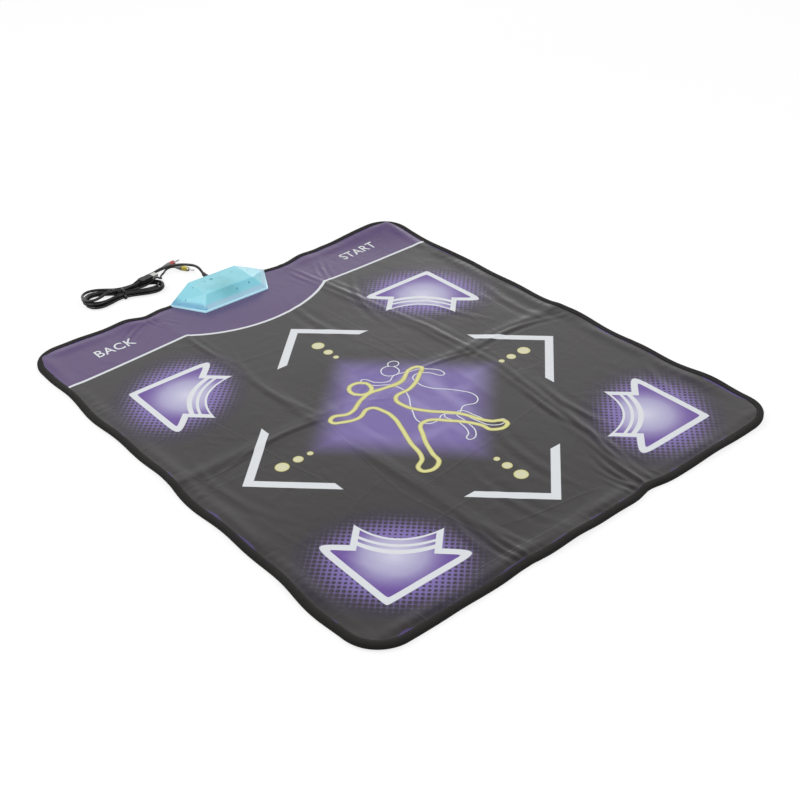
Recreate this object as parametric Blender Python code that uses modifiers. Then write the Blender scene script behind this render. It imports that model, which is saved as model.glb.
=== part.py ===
"""Foldable dance mat: layered vinyl mat, six press zones, control box and tied cord."""

import math

import bmesh
import bpy
from mathutils import Matrix, Vector

MM = 0.001
GAP = 0.3              # clearance between touching pieces

# Mat, in millimetres. The origin is on the floor; +Y runs towards the control box.
MAT_WIDTH = 800.0
MAT_LENGTH = 950.0
MAT_CORNER = 60.0
FOLD_Y = -8.0
FABRIC = 0.9           # binding fabric
BINDING_WIDTH = 12.0
BINDING_ROUND = 1.2
BASE_SHEET = 0.8
FOAM = 2.0
FILM = 0.3
SPACER = 1.9
COVER = 0.6

# The layers from the floor up.
FOAM_Z = FABRIC + GAP
FILM_Z = FOAM_Z + FOAM + GAP
SPACER_Z = FILM_Z + FILM + GAP
COVER_Z = SPACER_Z + SPACER + GAP
COVER_TOP = COVER_Z + COVER
BINDING_TOP = COVER_TOP + GAP + FABRIC

# Press zones: name, centre x, centre y, width, length.
BACK_EDGE = MAT_LENGTH / 2
ARROW_ZONE = 160.0
ARROW_X = MAT_WIDTH / 2 - 138.0
ARROW_CENTRE = (-4.0, -78.0 * MAT_LENGTH / 950.0)
ARROW_Y = BACK_EDGE + ARROW_CENTRE[1] - 121.0
KEY_ZONE = (112.0, 50.0)
KEY_X = MAT_WIDTH / 2 - 132.0
ZONES = (
    ("arrow_back_left", ARROW_CENTRE[0] - ARROW_X, ARROW_CENTRE[1] + ARROW_Y, ARROW_ZONE, ARROW_ZONE),
    ("arrow_back_right", ARROW_CENTRE[0] + ARROW_X, ARROW_CENTRE[1] + ARROW_Y, ARROW_ZONE, ARROW_ZONE),
    ("arrow_front_left", ARROW_CENTRE[0] - ARROW_X, ARROW_CENTRE[1] - ARROW_Y, ARROW_ZONE, ARROW_ZONE),
    ("arrow_front_right", ARROW_CENTRE[0] + ARROW_X, ARROW_CENTRE[1] - ARROW_Y, ARROW_ZONE, ARROW_ZONE),
    ("back_key", -KEY_X, BACK_EDGE - 70.0, KEY_ZONE[0], KEY_ZONE[1]),
    ("start_key", KEY_X, BACK_EDGE - 65.0, KEY_ZONE[0], KEY_ZONE[1]),
)
ZONE_CORNER = 6.0
SPACER_MARGIN = 2.0    # the spacer's windows are wider than the cover's

# Control box.
BOX_X = -18.0
BOX_FRONT = (68.0, BACK_EDGE - 75.0)   # half width, y
BOX_TIP = (102.0, BACK_EDGE - 11.0)
BOX_BACK = (62.0, BACK_EDGE + 9.0)
ROOF_HALF = 50.0
ROOF_FRONT = BACK_EDGE - 54.0
BASE_PLATE = 2.2
BOX_HEIGHT = 20.4
WALL = 2.2
RIM_INSET = 2.0
TIP_RISE = 2.4
BASE_BOTTOM = BINDING_TOP + GAP
BASE_TOP = BASE_BOTTOM + BASE_PLATE
TOP_Z = BASE_TOP + GAP
ROOF_Z = TOP_Z + BOX_HEIGHT
BOSS_RADIUS = 4.5
BOARD_THICKNESS = 1.6
BOARD_SIZE = (92.0, 44.0)
BOARD_Y = BACK_EDGE - 24.0
BOARD_Z = 15.6
BOARD_TOP = BOARD_Z + BOARD_THICKNESS
PART_Z = BOARD_TOP + GAP
SCREW_RADIUS = 1.6
CLAMP_PLATE = (124.0, 54.0, FOAM_Z + FOAM)
CLAMP_Y = BACK_EDGE - 40.0
CLAMP_SCREWS = tuple((x, BACK_EDGE - y) for y in (57.0, 22.0) for x in (-52.0, 52.0))
CASE_SCREW = (-30.0, BACK_EDGE - 9.0)
TAIL_WIDTH = 36.0
TAIL_Y = BACK_EDGE - 51.0
TAIL_THICK = 0.4
TAIL_REACH = 12.0

# Cord and plugs.
CORD_DIAMETER = 5.0
LEAD_DIAMETER = 3.6
CORD_EXIT = (-22.0, ROOF_Z - 9.3)   # x, z in the back wall
GROMMET_LENGTH = 9.0
HANK_CENTRE = (-158.0, BACK_EDGE + 98.0)
HANK_HALF_LENGTH = 80.0
HANK_END_RADIUS = 31.0
HANK_WAIST = 18.0           # half width below the tie
HANK_TURN = -12.0           # degrees
TIE_THICK = 1.6
TIE_WIDTH = 6.0
HANK_Z = 0.2 + TIE_THICK + GAP
HANK_HEIGHT = 14.0
HANK_TOP = HANK_Z + HANK_HEIGHT
RCA_RADIUS = 4.6
RCA_LENGTH = 26.0


def collection(name):
    made = bpy.data.collections.new(name)
    bpy.context.scene.collection.children.link(made)
    return made


def material(name, colour, roughness, metallic=0.0, alpha=1.0):
    made = bpy.data.materials.new(name)
    made.use_nodes = True
    shader = made.node_tree.nodes["Principled BSDF"]
    shader.inputs["Base Color"].default_value = (*colour, 1.0)
    shader.inputs["Roughness"].default_value = roughness
    shader.inputs["Metallic"].default_value = metallic
    shader.inputs["Alpha"].default_value = alpha
    return made


def add_object(name, bm, look=None, origin=(0.0, 0.0, 0.0)):
    """Makes a node from a bmesh in millimetres, with its origin at a joint's axis where it has one."""
    bmesh.ops.translate(bm, verts=bm.verts, vec=-Vector(origin))
    bmesh.ops.scale(bm, verts=bm.verts, vec=(MM, MM, MM))
    bmesh.ops.recalc_face_normals(bm, faces=bm.faces)
    mesh = bpy.data.meshes.new(name)
    bm.to_mesh(mesh)
    bm.free()
    made = bpy.data.objects.new(name, mesh)
    made.location = Vector(origin) * MM
    if look is None:
        cutters.objects.link(made)
        made.hide_render = True
        made.display_type = "WIRE"
    else:
        parts.objects.link(made)
        mesh.materials.append(look)
    return made


def slab(centre_x, centre_y, width, length, z0, z1, corner=0.0, segments=5):
    """A flat block with its upright edges rounded."""
    bm = bmesh.new()
    bmesh.ops.create_cube(bm, size=1.0)
    bmesh.ops.scale(bm, verts=bm.verts, vec=(width, length, z1 - z0))
    bmesh.ops.translate(bm, verts=bm.verts, vec=(centre_x, centre_y, (z0 + z1) / 2))
    if corner > 0:
        upright = [e for e in bm.edges if abs(e.verts[0].co.z - e.verts[1].co.z) > 0.5 * (z1 - z0)]
        bmesh.ops.bevel(bm, geom=upright, offset=corner, segments=segments, profile=0.5, affect="EDGES")
    return bm


def disc(x, y, radius, z0, z1, segments=16, top_radius=None):
    bm = bmesh.new()
    bmesh.ops.create_cone(
        bm,
        cap_ends=True,
        segments=segments,
        radius1=radius,
        radius2=radius if top_radius is None else top_radius,
        depth=z1 - z0,
    )
    bmesh.ops.translate(bm, verts=bm.verts, vec=(x, y, (z0 + z1) / 2))
    return bm


def merge(*shapes):
    """Joins shapes that stand apart into one bmesh, for a cutter with several bodies."""
    whole = bmesh.new()
    for shape in shapes:
        mesh = bpy.data.meshes.new("merge")
        shape.to_mesh(mesh)
        shape.free()
        whole.from_mesh(mesh)
        bpy.data.meshes.remove(mesh)
    return whole


def combine(target, tool, operation="DIFFERENCE"):
    step = target.modifiers.new(operation.lower(), "BOOLEAN")
    step.operation = operation
    step.object = tool
    step.solver = "EXACT"


def round_shading(made, angle=35.0):
    made.data.shade_smooth()
    made.data.set_sharp_from_angle(angle=math.radians(angle))


def spin(name, profile, origin, axis_turn, look, steps=20):
    """A turned piece: (radius, height) points turned about its own Z, then rotated into place."""
    bm = bmesh.new()
    row = [bm.verts.new((radius * MM, 0.0, height * MM)) for radius, height in profile]
    for first, second in zip(row, row[1:]):
        bm.edges.new((first, second))
    mesh = bpy.data.meshes.new(name)
    bm.to_mesh(mesh)
    bm.free()
    made = bpy.data.objects.new(name, mesh)
    made.location = Vector(origin) * MM
    made.rotation_euler = axis_turn
    screw = made.modifiers.new("turn", "SCREW")
    screw.steps = steps
    screw.render_steps = steps
    screw.use_merge_vertices = True
    screw.merge_threshold = 0.00001
    parts.objects.link(made)
    mesh.materials.append(look)
    return made


def mat_outline(inset, z0, z1, segments=5):
    return slab(
        0.0, 0.0, MAT_WIDTH - 2 * inset, MAT_LENGTH - 2 * inset, z0, z1, MAT_CORNER - inset, segments
    )


def zone_windows(name, margin):
    shapes = []
    for _, x, y, width, length in ZONES:
        corner = ZONE_CORNER + margin
        shapes.append(slab(x, y, width + 2 * margin, length + 2 * margin, -5.0, 15.0, corner, 3))
    return add_object(name, merge(*shapes))


def half_cutters():
    """Boxes that leave the back half or the front half of a full sheet."""
    reach = 1200.0
    away_front = slab(0.0, FOLD_Y + GAP / 2 - reach / 2, reach, reach, -50.0, 60.0)
    away_back = slab(0.0, FOLD_Y - GAP / 2 + reach / 2, reach, reach, -50.0, 60.0)
    return {"back": add_object("cut_front_away", away_front), "front": add_object("cut_back_away", away_back)}


def sheet_halves(name, inset, z0, z1, look, tools):
    """One layer of the mat as a back half and a front half that meet at the fold."""
    for side in ("back", "front"):
        half = add_object(f"{name}_{side}", mat_outline(inset, z0, z1), look, side_origin[side])
        combine(half, halves[side])
        for where, tool in tools:
            if where in (side, "both"):
                combine(half, tool)


def make_binding():
    """Fabric tape folded round the edge: an outer wall with a leg above and a leg below the layers."""
    core = add_object("cut_binding_core", mat_outline(FABRIC, FABRIC, COVER_TOP + GAP))
    window = add_object("cut_binding_window", mat_outline(BINDING_WIDTH, -5.0, 15.0))
    for side in ("back", "front"):
        bm = mat_outline(0.0, 0.0, BINDING_TOP)
        rim = [e for e in bm.edges if abs(e.verts[0].co.z - e.verts[1].co.z) < 0.01]
        bmesh.ops.bevel(bm, geom=rim, offset=BINDING_ROUND * 0.6, segments=1, profile=0.5, affect="EDGES")
        tape = add_object(f"edge_binding_{side}", bm, tape_look, side_origin[side])
        for tool in (core, window, halves[side]):
            combine(tape, tool)


def make_layers():
    plate_x, plate_y, _ = CLAMP_PLATE
    pocket = add_object(
        "cut_clamp_pocket", slab(BOX_X, CLAMP_Y, plate_x + 2 * GAP, plate_y + 2 * GAP, -5.0, FILM_Z - 0.1)
    )
    holes = [disc(BOX_X + x, y, SCREW_RADIUS + GAP, -5.0, 14.6, 12) for x, y in CLAMP_SCREWS]
    screw_holes = add_object("cut_screw_holes", merge(*holes))
    slot = add_object(
        "cut_tail_slot",
        slab(BOX_X, TAIL_Y + TAIL_THICK / 2, TAIL_WIDTH + 2 * GAP, TAIL_THICK + 4 * GAP, SPACER_Z - 0.2, 14.0),
    )
    in_tape = FABRIC + GAP
    sheet_halves("base_sheet", BINDING_WIDTH + GAP, 0.0, BASE_SHEET, base_look, [("back", pocket)])
    sheet_halves("foam_pad", in_tape, FOAM_Z, FOAM_Z + FOAM, foam_look, [("back", pocket)])
    sheet_halves("contact_film", in_tape, FILM_Z, FILM_Z + FILM, film_look, [("back", screw_holes)])
    sheet_halves(
        "spacer_foam",
        in_tape,
        SPACER_Z,
        SPACER_Z + SPACER,
        foam_look,
        [("both", zone_windows("cut_spacer_windows", SPACER_MARGIN)), ("back", screw_holes), ("back", slot)],
    )
    sheet_halves(
        "top_cover",
        in_tape,
        COVER_Z,
        COVER_TOP,
        vinyl_look,
        [("both", zone_windows("cut_cover_windows", GAP)), ("back", screw_holes), ("back", slot)],
    )
    return screw_holes, slot


def make_zones():
    """Each press zone is a panel of the cover with its own contact film below it."""
    for name, x, y, width, length in ZONES:
        origin = (x, y, COVER_TOP)
        panel = slab(x, y, width, length, COVER_Z, COVER_TOP, ZONE_CORNER, 3)
        add_object(f"panel_{name}", panel, vinyl_look, origin)
        top = COVER_Z - GAP
        film = slab(x, y, width - 4.0, length - 4.0, top - FILM, top, ZONE_CORNER, 2)
        add_object(f"contact_{name}", film, film_look, origin)


def box_points(inset, z0, z1):
    """The six base corners and four roof corners of the case, moved in by a wall's thickness."""
    tip = (BOX_TIP[0] - RIM_INSET - inset * 1.6, BOX_TIP[1])
    rim = (
        (BOX_FRONT[0] - RIM_INSET - inset * 0.75, BOX_FRONT[1] + RIM_INSET + inset),
        tip,
        (BOX_BACK[0] - inset * 0.5, BOX_BACK[1] - inset),
    )
    roof = ((ROOF_HALF - inset * 0.4, ROOF_FRONT + inset * 0.5), (ROOF_HALF - inset * 0.4, BOX_BACK[1] - inset))
    points = []
    for side in (-1, 1):
        points += [(BOX_X + side * x, y, z0) for x, y in rim]
        points += [(BOX_X + side * x, y, z1) for x, y in roof]
        points.append((BOX_X + side * tip[0], tip[1], z0 + TIP_RISE))
    return points


def hull(points):
    bm = bmesh.new()
    for point in points:
        bm.verts.new(point)
    made = bmesh.ops.convex_hull(bm, input=bm.verts)
    unused = [v for v in made["geom_interior"] if isinstance(v, bmesh.types.BMVert)]
    bmesh.ops.delete(bm, geom=unused, context="VERTS")
    bmesh.ops.dissolve_limit(bm, angle_limit=math.radians(1), verts=bm.verts, edges=bm.edges)
    return bm


def make_case(screw_holes, slot):
    corners = []
    for side in (-1, 1):
        for x, y in (BOX_FRONT, BOX_TIP, BOX_BACK):
            corners += [(BOX_X + side * x, y, z) for z in (COVER_TOP + GAP, BASE_TOP)]
    base = add_object("case_base", hull(corners), case_look)
    reach = 2 * (BINDING_WIDTH + GAP)
    over_tape = slab(0.0, BACK_EDGE + 50.0, 400.0, reach + 100.0, 0.0, BASE_BOTTOM)
    combine(base, add_object("cut_over_binding", over_tape))
    for number, (x, y) in enumerate(CLAMP_SCREWS, 1):
        boss = disc(BOX_X + x, y, BOSS_RADIUS, BASE_TOP - 1.0, BOARD_Z - GAP)
        combine(base, add_object(f"add_boss_{number}", boss), "UNION")
    x, y = CASE_SCREW
    combine(base, add_object("add_case_boss", disc(x, y, BOSS_RADIUS, BASE_TOP - 1.0, BOARD_Z - GAP)), "UNION")
    combine(base, screw_holes)
    combine(base, slot)
    blind = disc(x, y, SCREW_RADIUS + GAP, BASE_TOP + 0.4, ROOF_Z - 2.5, 12)
    screw_hole = add_object("cut_case_screw_hole", blind)
    combine(base, screw_hole)

    shell = hull(box_points(0.0, TOP_Z, ROOF_Z))
    bmesh.ops.bevel(
        shell,
        geom=[e for e in shell.edges if min(v.co.z for v in e.verts) > TOP_Z + 0.1],
        offset=1.4,
        segments=2,
        profile=0.5,
        affect="EDGES",
    )
    top = add_object("case_top", shell, case_look)
    inside = box_points(WALL, TOP_Z, ROOF_Z - WALL)
    below = [(px, py, pz - 5.0) for px, py, pz in inside if pz == TOP_Z]
    inner = hull(inside + below)
    combine(top, add_object("cut_case_inside", inner))
    post = disc(x, y, BOSS_RADIUS, BOARD_TOP + GAP, ROOF_Z - 1.0)
    combine(top, add_object("add_case_post", post), "UNION")
    combine(top, screw_hole)
    combine(top, add_object("cut_screw_recess", disc(x, y, 3.4, ROOF_Z - 3.6, ROOF_Z + 5.0)))
    exit_hole = disc(0.0, 0.0, 5.3, -8.0, 8.0, 20)
    bmesh.ops.rotate(exit_hole, verts=exit_hole.verts, matrix=Matrix.Rotation(math.radians(90.0), 3, "X"))
    bmesh.ops.translate(exit_hole, verts=exit_hole.verts, vec=(CORD_EXIT[0], BOX_BACK[1], CORD_EXIT[1]))
    combine(top, add_object("cut_cord_exit", exit_hole))
    return screw_hole


def make_screws():
    """Clamp screws come up through the mat, and one screw comes down through the roof."""
    for number, (x, y) in enumerate(CLAMP_SCREWS, 1):
        profile = ((0.0, 14.0), (SCREW_RADIUS, 13.4), (SCREW_RADIUS, 1.6), (3.0, 1.6), (3.0, 0.3), (0.0, 0.3))
        spin(f"clamp_screw_{number}", profile, (BOX_X + x, y, 0.0), (0.0, 0.0, 0.0), steel_look, 12)
    x, y = CASE_SCREW
    head = ROOF_Z - 3.6 + GAP
    profile = (
        (0.0, head + 1.8),
        (1.8, head + 1.7),
        (2.8, head + 1.0),
        (2.8, head),
        (SCREW_RADIUS, head),
        (SCREW_RADIUS, BASE_TOP + 1.4),
        (0.0, BASE_TOP + 0.8),
    )
    spin("case_screw", profile, (x, y, 0.0), (0.0, 0.0, 0.0), steel_look, 12)


def make_clamp_plate():
    width, length, height = CLAMP_PLATE
    plate = add_object("clamp_plate", slab(BOX_X, CLAMP_Y, width, length, 0.0, height, 4.0, 3), case_look)
    holes = [disc(BOX_X + x, y, SCREW_RADIUS + GAP, -5.0, 10.0, 12) for x, y in CLAMP_SCREWS]
    combine(plate, add_object("cut_plate_holes", merge(*holes)))
    heads = [disc(BOX_X + x, y, 3.3, -5.0, 1.6 + GAP, 16) for x, y in CLAMP_SCREWS]
    combine(plate, add_object("cut_plate_heads", merge(*heads)))


def make_board(screw_hole):
    width, length = BOARD_SIZE
    board = add_object("circuit_board", slab(BOX_X, BOARD_Y, width, length, BOARD_Z, BOARD_TOP, 2.0, 2), board_look)
    combine(board, screw_hole)
    clamp_x = TAIL_WIDTH / 2 + 3.0
    clamp_y = TAIL_Y + 8.0
    holes = [disc(BOX_X + side * clamp_x, clamp_y, 1.3, 10.0, 30.0, 10) for side in (-1, 1)]
    tail_holes = add_object("cut_tail_screws", merge(*holes))
    combine(board, tail_holes)

    z = PART_Z
    blob = disc(BOX_X + 13.0, BACK_EDGE - 21.0, 9.0, z, z + 2.2, 20, top_radius=5.5)
    round_shading(add_object("controller_blob", blob, black_look))
    for number, (x, y) in enumerate(((-27.0, BACK_EDGE - 16.0), (33.0, BACK_EDGE - 15.0)), 1):
        can = disc(BOX_X + x, y, 3.2, z, z + 6.5, 16)
        bmesh.ops.bevel(can, geom=[e for e in can.edges if min(v.co.z for v in e.verts) > z + 6.0],
                        offset=0.4, segments=1, profile=0.5, affect="EDGES")
        round_shading(add_object(f"capacitor_{number}", can, steel_look))
    add_object("crystal", slab(BOX_X + 34.0, BACK_EDGE - 28.0, 10.0, 4.4, z, z + 3.2, 2.1, 4), steel_look)
    add_object("memory_chip", slab(BOX_X - 14.0, BACK_EDGE - 29.0, 14.0, 8.0, z, z + 1.6), black_look)
    led = disc(BOX_X - 38.0, BACK_EDGE - 39.0, 1.5, z, z + 4.0, 12, top_radius=1.1)
    round_shading(add_object("status_led", led, red_look))

    rise = slab(BOX_X, TAIL_Y + TAIL_THICK / 2, TAIL_WIDTH, TAIL_THICK, SPACER_Z, z + TAIL_THICK)
    tail = add_object("film_tail", rise, film_look)
    reach = slab(BOX_X, TAIL_Y + 0.1 + TAIL_REACH / 2, TAIL_WIDTH, TAIL_REACH, z, z + TAIL_THICK)
    combine(tail, add_object("add_tail_reach", reach), "UNION")
    bar_z = z + TAIL_THICK + GAP
    bar = add_object("tail_clamp", slab(BOX_X, clamp_y, 2 * clamp_x + 6.0, 6.0, bar_z, bar_z + 2.4, 1.5, 2), black_look)
    combine(bar, tail_holes)
    for number, side in enumerate((-1, 1), 1):
        head = bar_z + 2.4 + GAP
        profile = ((0.0, head + 1.1), (2.0, head + 0.9), (2.0, head), (1.0, head), (1.0, BOARD_Z - 1.0), (0.0, BOARD_Z - 1.4))
        spin(f"tail_screw_{number}", profile, (BOX_X + side * clamp_x, clamp_y, 0.0), (0.0, 0.0, 0.0), steel_look, 10)


def smooth_route(route, step):
    """Points at even steps along a Catmull-Rom curve through the route."""
    points = [Vector(p) for p in route]
    points = [2 * points[0] - points[1]] + points + [2 * points[-1] - points[-2]]
    fine = []
    for a, b, c, d in zip(points, points[1:], points[2:], points[3:]):
        for i in range(24):
            t = i / 24
            fine.append(
                0.5 * (2 * b + (c - a) * t + (2 * a - 5 * b + 4 * c - d) * t * t + (3 * b - a - 3 * c + d) * t ** 3)
            )
    fine.append(points[-2])
    total = sum((q - p).length for p, q in zip(fine, fine[1:]))
    count = max(2, round(total / step))
    even = [fine[0]]
    walked = 0.0
    for p, q in zip(fine, fine[1:]):
        part = (q - p).length
        while len(even) < count and walked + part >= total * len(even) / count:
            share = (total * len(even) / count - walked) / part
            even.append(p.lerp(q, share))
        walked += part
    even.append(fine[-1])
    return even


def tube(name, route, diameter, look):
    curve = bpy.data.curves.new(name, "CURVE")
    curve.dimensions = "3D"
    curve.bevel_depth = diameter / 2 * MM
    curve.bevel_resolution = 2
    curve.use_fill_caps = True
    points = smooth_route(route, 2.5 * diameter)
    spline = curve.splines.new("POLY")
    spline.points.add(len(points) - 1)
    for slot, point in zip(spline.points, points):
        slot.co = (*(point * MM), 1.0)
    made = bpy.data.objects.new(name, curve)
    curve.materials.append(look)
    parts.objects.link(made)
    return made


def hank_point(degrees):
    """The hank's outline: round ends, drawn in at the middle by the tie. 0 is at the right end."""
    turn = degrees % 360.0
    quarter = turn if turn <= 90.0 else abs(180.0 - turn) if turn <= 270.0 else 360.0 - turn
    straight = HANK_HALF_LENGTH - HANK_END_RADIUS
    if quarter < 45.0:
        angle = math.radians(2.0 * quarter)
        x = straight + HANK_END_RADIUS * math.cos(angle)
        y = HANK_END_RADIUS * math.sin(angle)
    else:
        share = (quarter - 45.0) / 45.0
        x = straight * (1.0 - share)
        y = HANK_WAIST + (HANK_END_RADIUS - HANK_WAIST) * (1.0 + math.cos(math.pi * share)) / 2.0
    return x if turn <= 90.0 or turn >= 270.0 else -x, y if turn <= 180.0 else -y


def outline_solid(name, points, half_height, look):
    """A flat closed outline, filled and extruded, as a mesh with its caps welded on."""
    curve = bpy.data.curves.new(name, "CURVE")
    curve.dimensions = "2D"
    curve.fill_mode = "BOTH"
    curve.extrude = half_height * MM
    spline = curve.splines.new("POLY")
    spline.points.add(len(points) - 1)
    for slot, (x, y) in zip(spline.points, points):
        slot.co = (x * MM, y * MM, 0.0, 1.0)
    spline.use_cyclic_u = True
    flat = bpy.data.objects.new(name + "_outline", curve)
    parts.objects.link(flat)
    graph = bpy.context.evaluated_depsgraph_get()
    mesh = bpy.data.meshes.new_from_object(flat.evaluated_get(graph))
    bpy.data.objects.remove(flat)
    bm = bmesh.new()
    bm.from_mesh(mesh)
    bmesh.ops.remove_doubles(bm, verts=bm.verts, dist=0.00001)
    bmesh.ops.recalc_face_normals(bm, faces=bm.faces)
    bm.to_mesh(mesh)
    bm.free()
    mesh.name = name
    made = bpy.data.objects.new(name, mesh)
    mesh.materials.clear()
    mesh.materials.append(look)
    parts.objects.link(made)
    return made


def in_hank(x, y, z):
    """A place given in the hank's own axes."""
    turn = math.radians(HANK_TURN)
    return (
        HANK_CENTRE[0] + x * math.cos(turn) - y * math.sin(turn),
        HANK_CENTRE[1] + x * math.sin(turn) + y * math.cos(turn),
        z,
    )


def hank_gate(degrees, z, reach):
    """Two points straight out from the hank's side: one at the clearance, one further away."""
    here = Vector(hank_point(degrees))
    ahead = Vector(hank_point(degrees + 0.5))
    along = (ahead - here).normalized()
    out = Vector((along.y, -along.x))
    return [in_hank(*(here + out * away), z) for away in (1.2 * GAP, reach)]


def make_hank():
    count = 72
    points = [hank_point(360.0 * (i + 0.5) / count) for i in range(count)]
    hank = outline_solid("cord_hank", points, HANK_HEIGHT / 2, cord_look)
    hank.location = Vector(in_hank(0.0, 0.0, HANK_Z + HANK_HEIGHT / 2)) * MM
    hank.rotation_euler = (0.0, 0.0, math.radians(HANK_TURN))

    inner = HANK_WAIST + 2 * GAP
    low = HANK_Z - GAP - TIE_THICK
    high = HANK_TOP + GAP + TIE_THICK
    band = slab(0.0, 0.0, TIE_WIDTH, 2 * (inner + TIE_THICK), low, high)
    along = [e for e in band.edges if abs(e.verts[0].co.x - e.verts[1].co.x) > 0.5 * TIE_WIDTH]
    bmesh.ops.bevel(band, geom=along, offset=1.2, segments=2, profile=0.5, affect="EDGES")
    tie = add_object("cord_tie", band, tie_look)
    inside = slab(0.0, 0.0, 3 * TIE_WIDTH, 2 * inner, HANK_Z - GAP, HANK_TOP + GAP)
    cut = add_object("cut_tie_inside", inside)
    combine(tie, cut)
    for made in (tie, cut):
        made.location = Vector(in_hank(0.0, 0.0, 0.0)) * MM
        made.rotation_euler = (0.0, 0.0, math.radians(HANK_TURN))


def rca_plug(name, start, direction, look):
    """A moulded phono plug lying on its side: grip, then the metal collar and pin."""
    flat = Vector((direction[0], direction[1], 0.0)).normalized()
    turn = (0.0, math.radians(90.0), math.atan2(flat.y, flat.x))
    grip = (
        (0.0, RCA_LENGTH),
        (RCA_RADIUS, RCA_LENGTH),
        (RCA_RADIUS, RCA_LENGTH * 0.45),
        (RCA_RADIUS * 0.86, RCA_LENGTH * 0.38),
        (RCA_RADIUS * 0.74, RCA_LENGTH * 0.2),
        (LEAD_DIAMETER / 2 + 0.7, 0.0),
        (0.0, 0.0),
    )
    spin(f"{name}_grip", grip, start, turn, look, 16)
    tip = Vector(start) + flat * (RCA_LENGTH + GAP)
    collar = ((0.0, 15.0), (0.9, 14.4), (1.55, 13.0), (1.55, 2.0), (3.9, 2.0), (3.9, 0.0), (0.0, 0.0))
    spin(f"{name}_pin", collar, tip, turn, steel_look, 14)
    return [Vector(start) - flat * 10.0, Vector(start) - flat * GAP]


def make_cords():
    start_y = BOX_BACK[1] + GROMMET_LENGTH + 1.5 * GAP
    x, z = CORD_EXIT
    grommet = (
        (0.0, GROMMET_LENGTH),
        (CORD_DIAMETER / 2 + 0.9, GROMMET_LENGTH),
        (5.4, 2.6),
        (6.8, 2.6),
        (6.8, GAP),
        (5.0, GAP),
        (5.0, -WALL - GAP),
        (6.4, -WALL - GAP),
        (6.4, -WALL - 2.4),
        (0.0, -WALL - 2.4),
    )
    spin("cord_grommet", grommet, (x, BOX_BACK[1], z), (math.radians(-90.0), 0.0, 0.0), black_look, 20)
    route = (
        (x, start_y, z),
        (x + 0.3, BACK_EDGE + 29.0, z + 0.4),
        (x + 1.6, BACK_EDGE + 39.5, 24.6),
        (x + 3.4, BACK_EDGE + 53.0, 26.8),
        (x + 3.6, BACK_EDGE + 68.0, 26.0),
        (-20.8, BACK_EDGE + 84.6, 22.8),
        (-24.8, BACK_EDGE + 101.0, 18.8),
        (-31.6, BACK_EDGE + 115.5, 15.0),
        (-41.5, BACK_EDGE + 125.0, 11.6),
        (-56.0, BACK_EDGE + 127.5, 9.8),
        (-69.5, BACK_EDGE + 126.0, 9.3),
    )
    tube("cord", list(route) + hank_gate(34.0, 9.2, 3.0 * CORD_DIAMETER)[::-1], CORD_DIAMETER, cord_look)

    lying = RCA_RADIUS + 0.2
    entry = rca_plug("audio_plug", (-47.0, BACK_EDGE + 143.3, lying), (1.0, 0.17), red_look)
    route = ((-86.0, BACK_EDGE + 131.8, 5.4), (-72.0, BACK_EDGE + 136.5, 5.0))
    tube("audio_lead", hank_gate(47.0, 6.0, 2.5 * LEAD_DIAMETER) + list(route) + entry, LEAD_DIAMETER, cord_look)

    entry = rca_plug("video_plug", (-28.0, BACK_EDGE + 127.0, lying), (0.5, -0.9), yellow_look)
    route = ((-68.0, BACK_EDGE + 116.5, 2.6), (-55.0, BACK_EDGE + 127.5, 2.1), (-43.5, BACK_EDGE + 137.0, 2.6))
    tube("video_lead", hank_gate(18.0, 4.2, 2.0 * LEAD_DIAMETER) + list(route) + entry, LEAD_DIAMETER, cord_look)
    make_usb()


def make_usb():
    """The power plug lies on top of the hank, its metal shell towards the box."""
    low = HANK_TOP + GAP
    x, y, _ = in_hank(36.0, 2.0, 0.0)
    turn = math.radians(HANK_TURN + 24.0)

    def place(made):
        made.location = Vector((x, y, 0.0)) * MM
        made.rotation_euler = (0.0, 0.0, turn)

    body = slab(13.0, 0.0, 26.0, 14.0, low, low + 7.0, 3.0, 3)
    place(add_object("usb_grip", body, cord_look))
    shell = add_object("usb_shell", slab(32.5, 0.0, 12.4, 12.0, low + 1.2, low + 5.7), steel_look)
    place(shell)
    mouth = add_object("cut_usb_mouth", slab(34.4, 0.0, 12.4, 11.2, low + 1.6, low + 5.3))
    place(mouth)
    combine(shell, mouth)
    bend = Vector((math.cos(turn), math.sin(turn), 0.0))
    end = Vector((x, y, low + 3.2)) - bend * GAP
    start = end - bend * 27.0 + Vector((0.0, -3.0, -0.9))
    tube("power_lead", (start, start.lerp(end, 0.5) + Vector((0.0, 1.0, 0.2)), end), LEAD_DIAMETER, cord_look)


for old in list(bpy.data.objects):
    bpy.data.objects.remove(old)
parts = collection("dance_mat")
cutters = collection("cutters")

vinyl_look = material("printed_vinyl", (0.07, 0.068, 0.066), 0.42)
base_look = material("base_sheet", (0.03, 0.03, 0.03), 0.7)
foam_look = material("foam", (0.5, 0.5, 0.48), 0.9)
film_look = material("contact_film", (0.25, 0.25, 0.24), 0.4)
tape_look = material("binding_fabric", (0.022, 0.02, 0.018), 0.85)
case_look = material("case_plastic", (0.25, 0.62, 0.8), 0.3, alpha=0.7)
board_look = material("circuit_board", (0.05, 0.22, 0.12), 0.45)
black_look = material("black_plastic", (0.015, 0.015, 0.015), 0.45)
cord_look = material("cord_jacket", (0.012, 0.011, 0.012), 0.35)
tie_look = material("tie", (0.012, 0.012, 0.012), 0.6)
steel_look = material("plated_steel", (0.6, 0.6, 0.58), 0.3, metallic=1.0)
red_look = material("red_plastic", (0.55, 0.03, 0.03), 0.35)
yellow_look = material("yellow_plastic", (0.75, 0.62, 0.05), 0.35)

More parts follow.
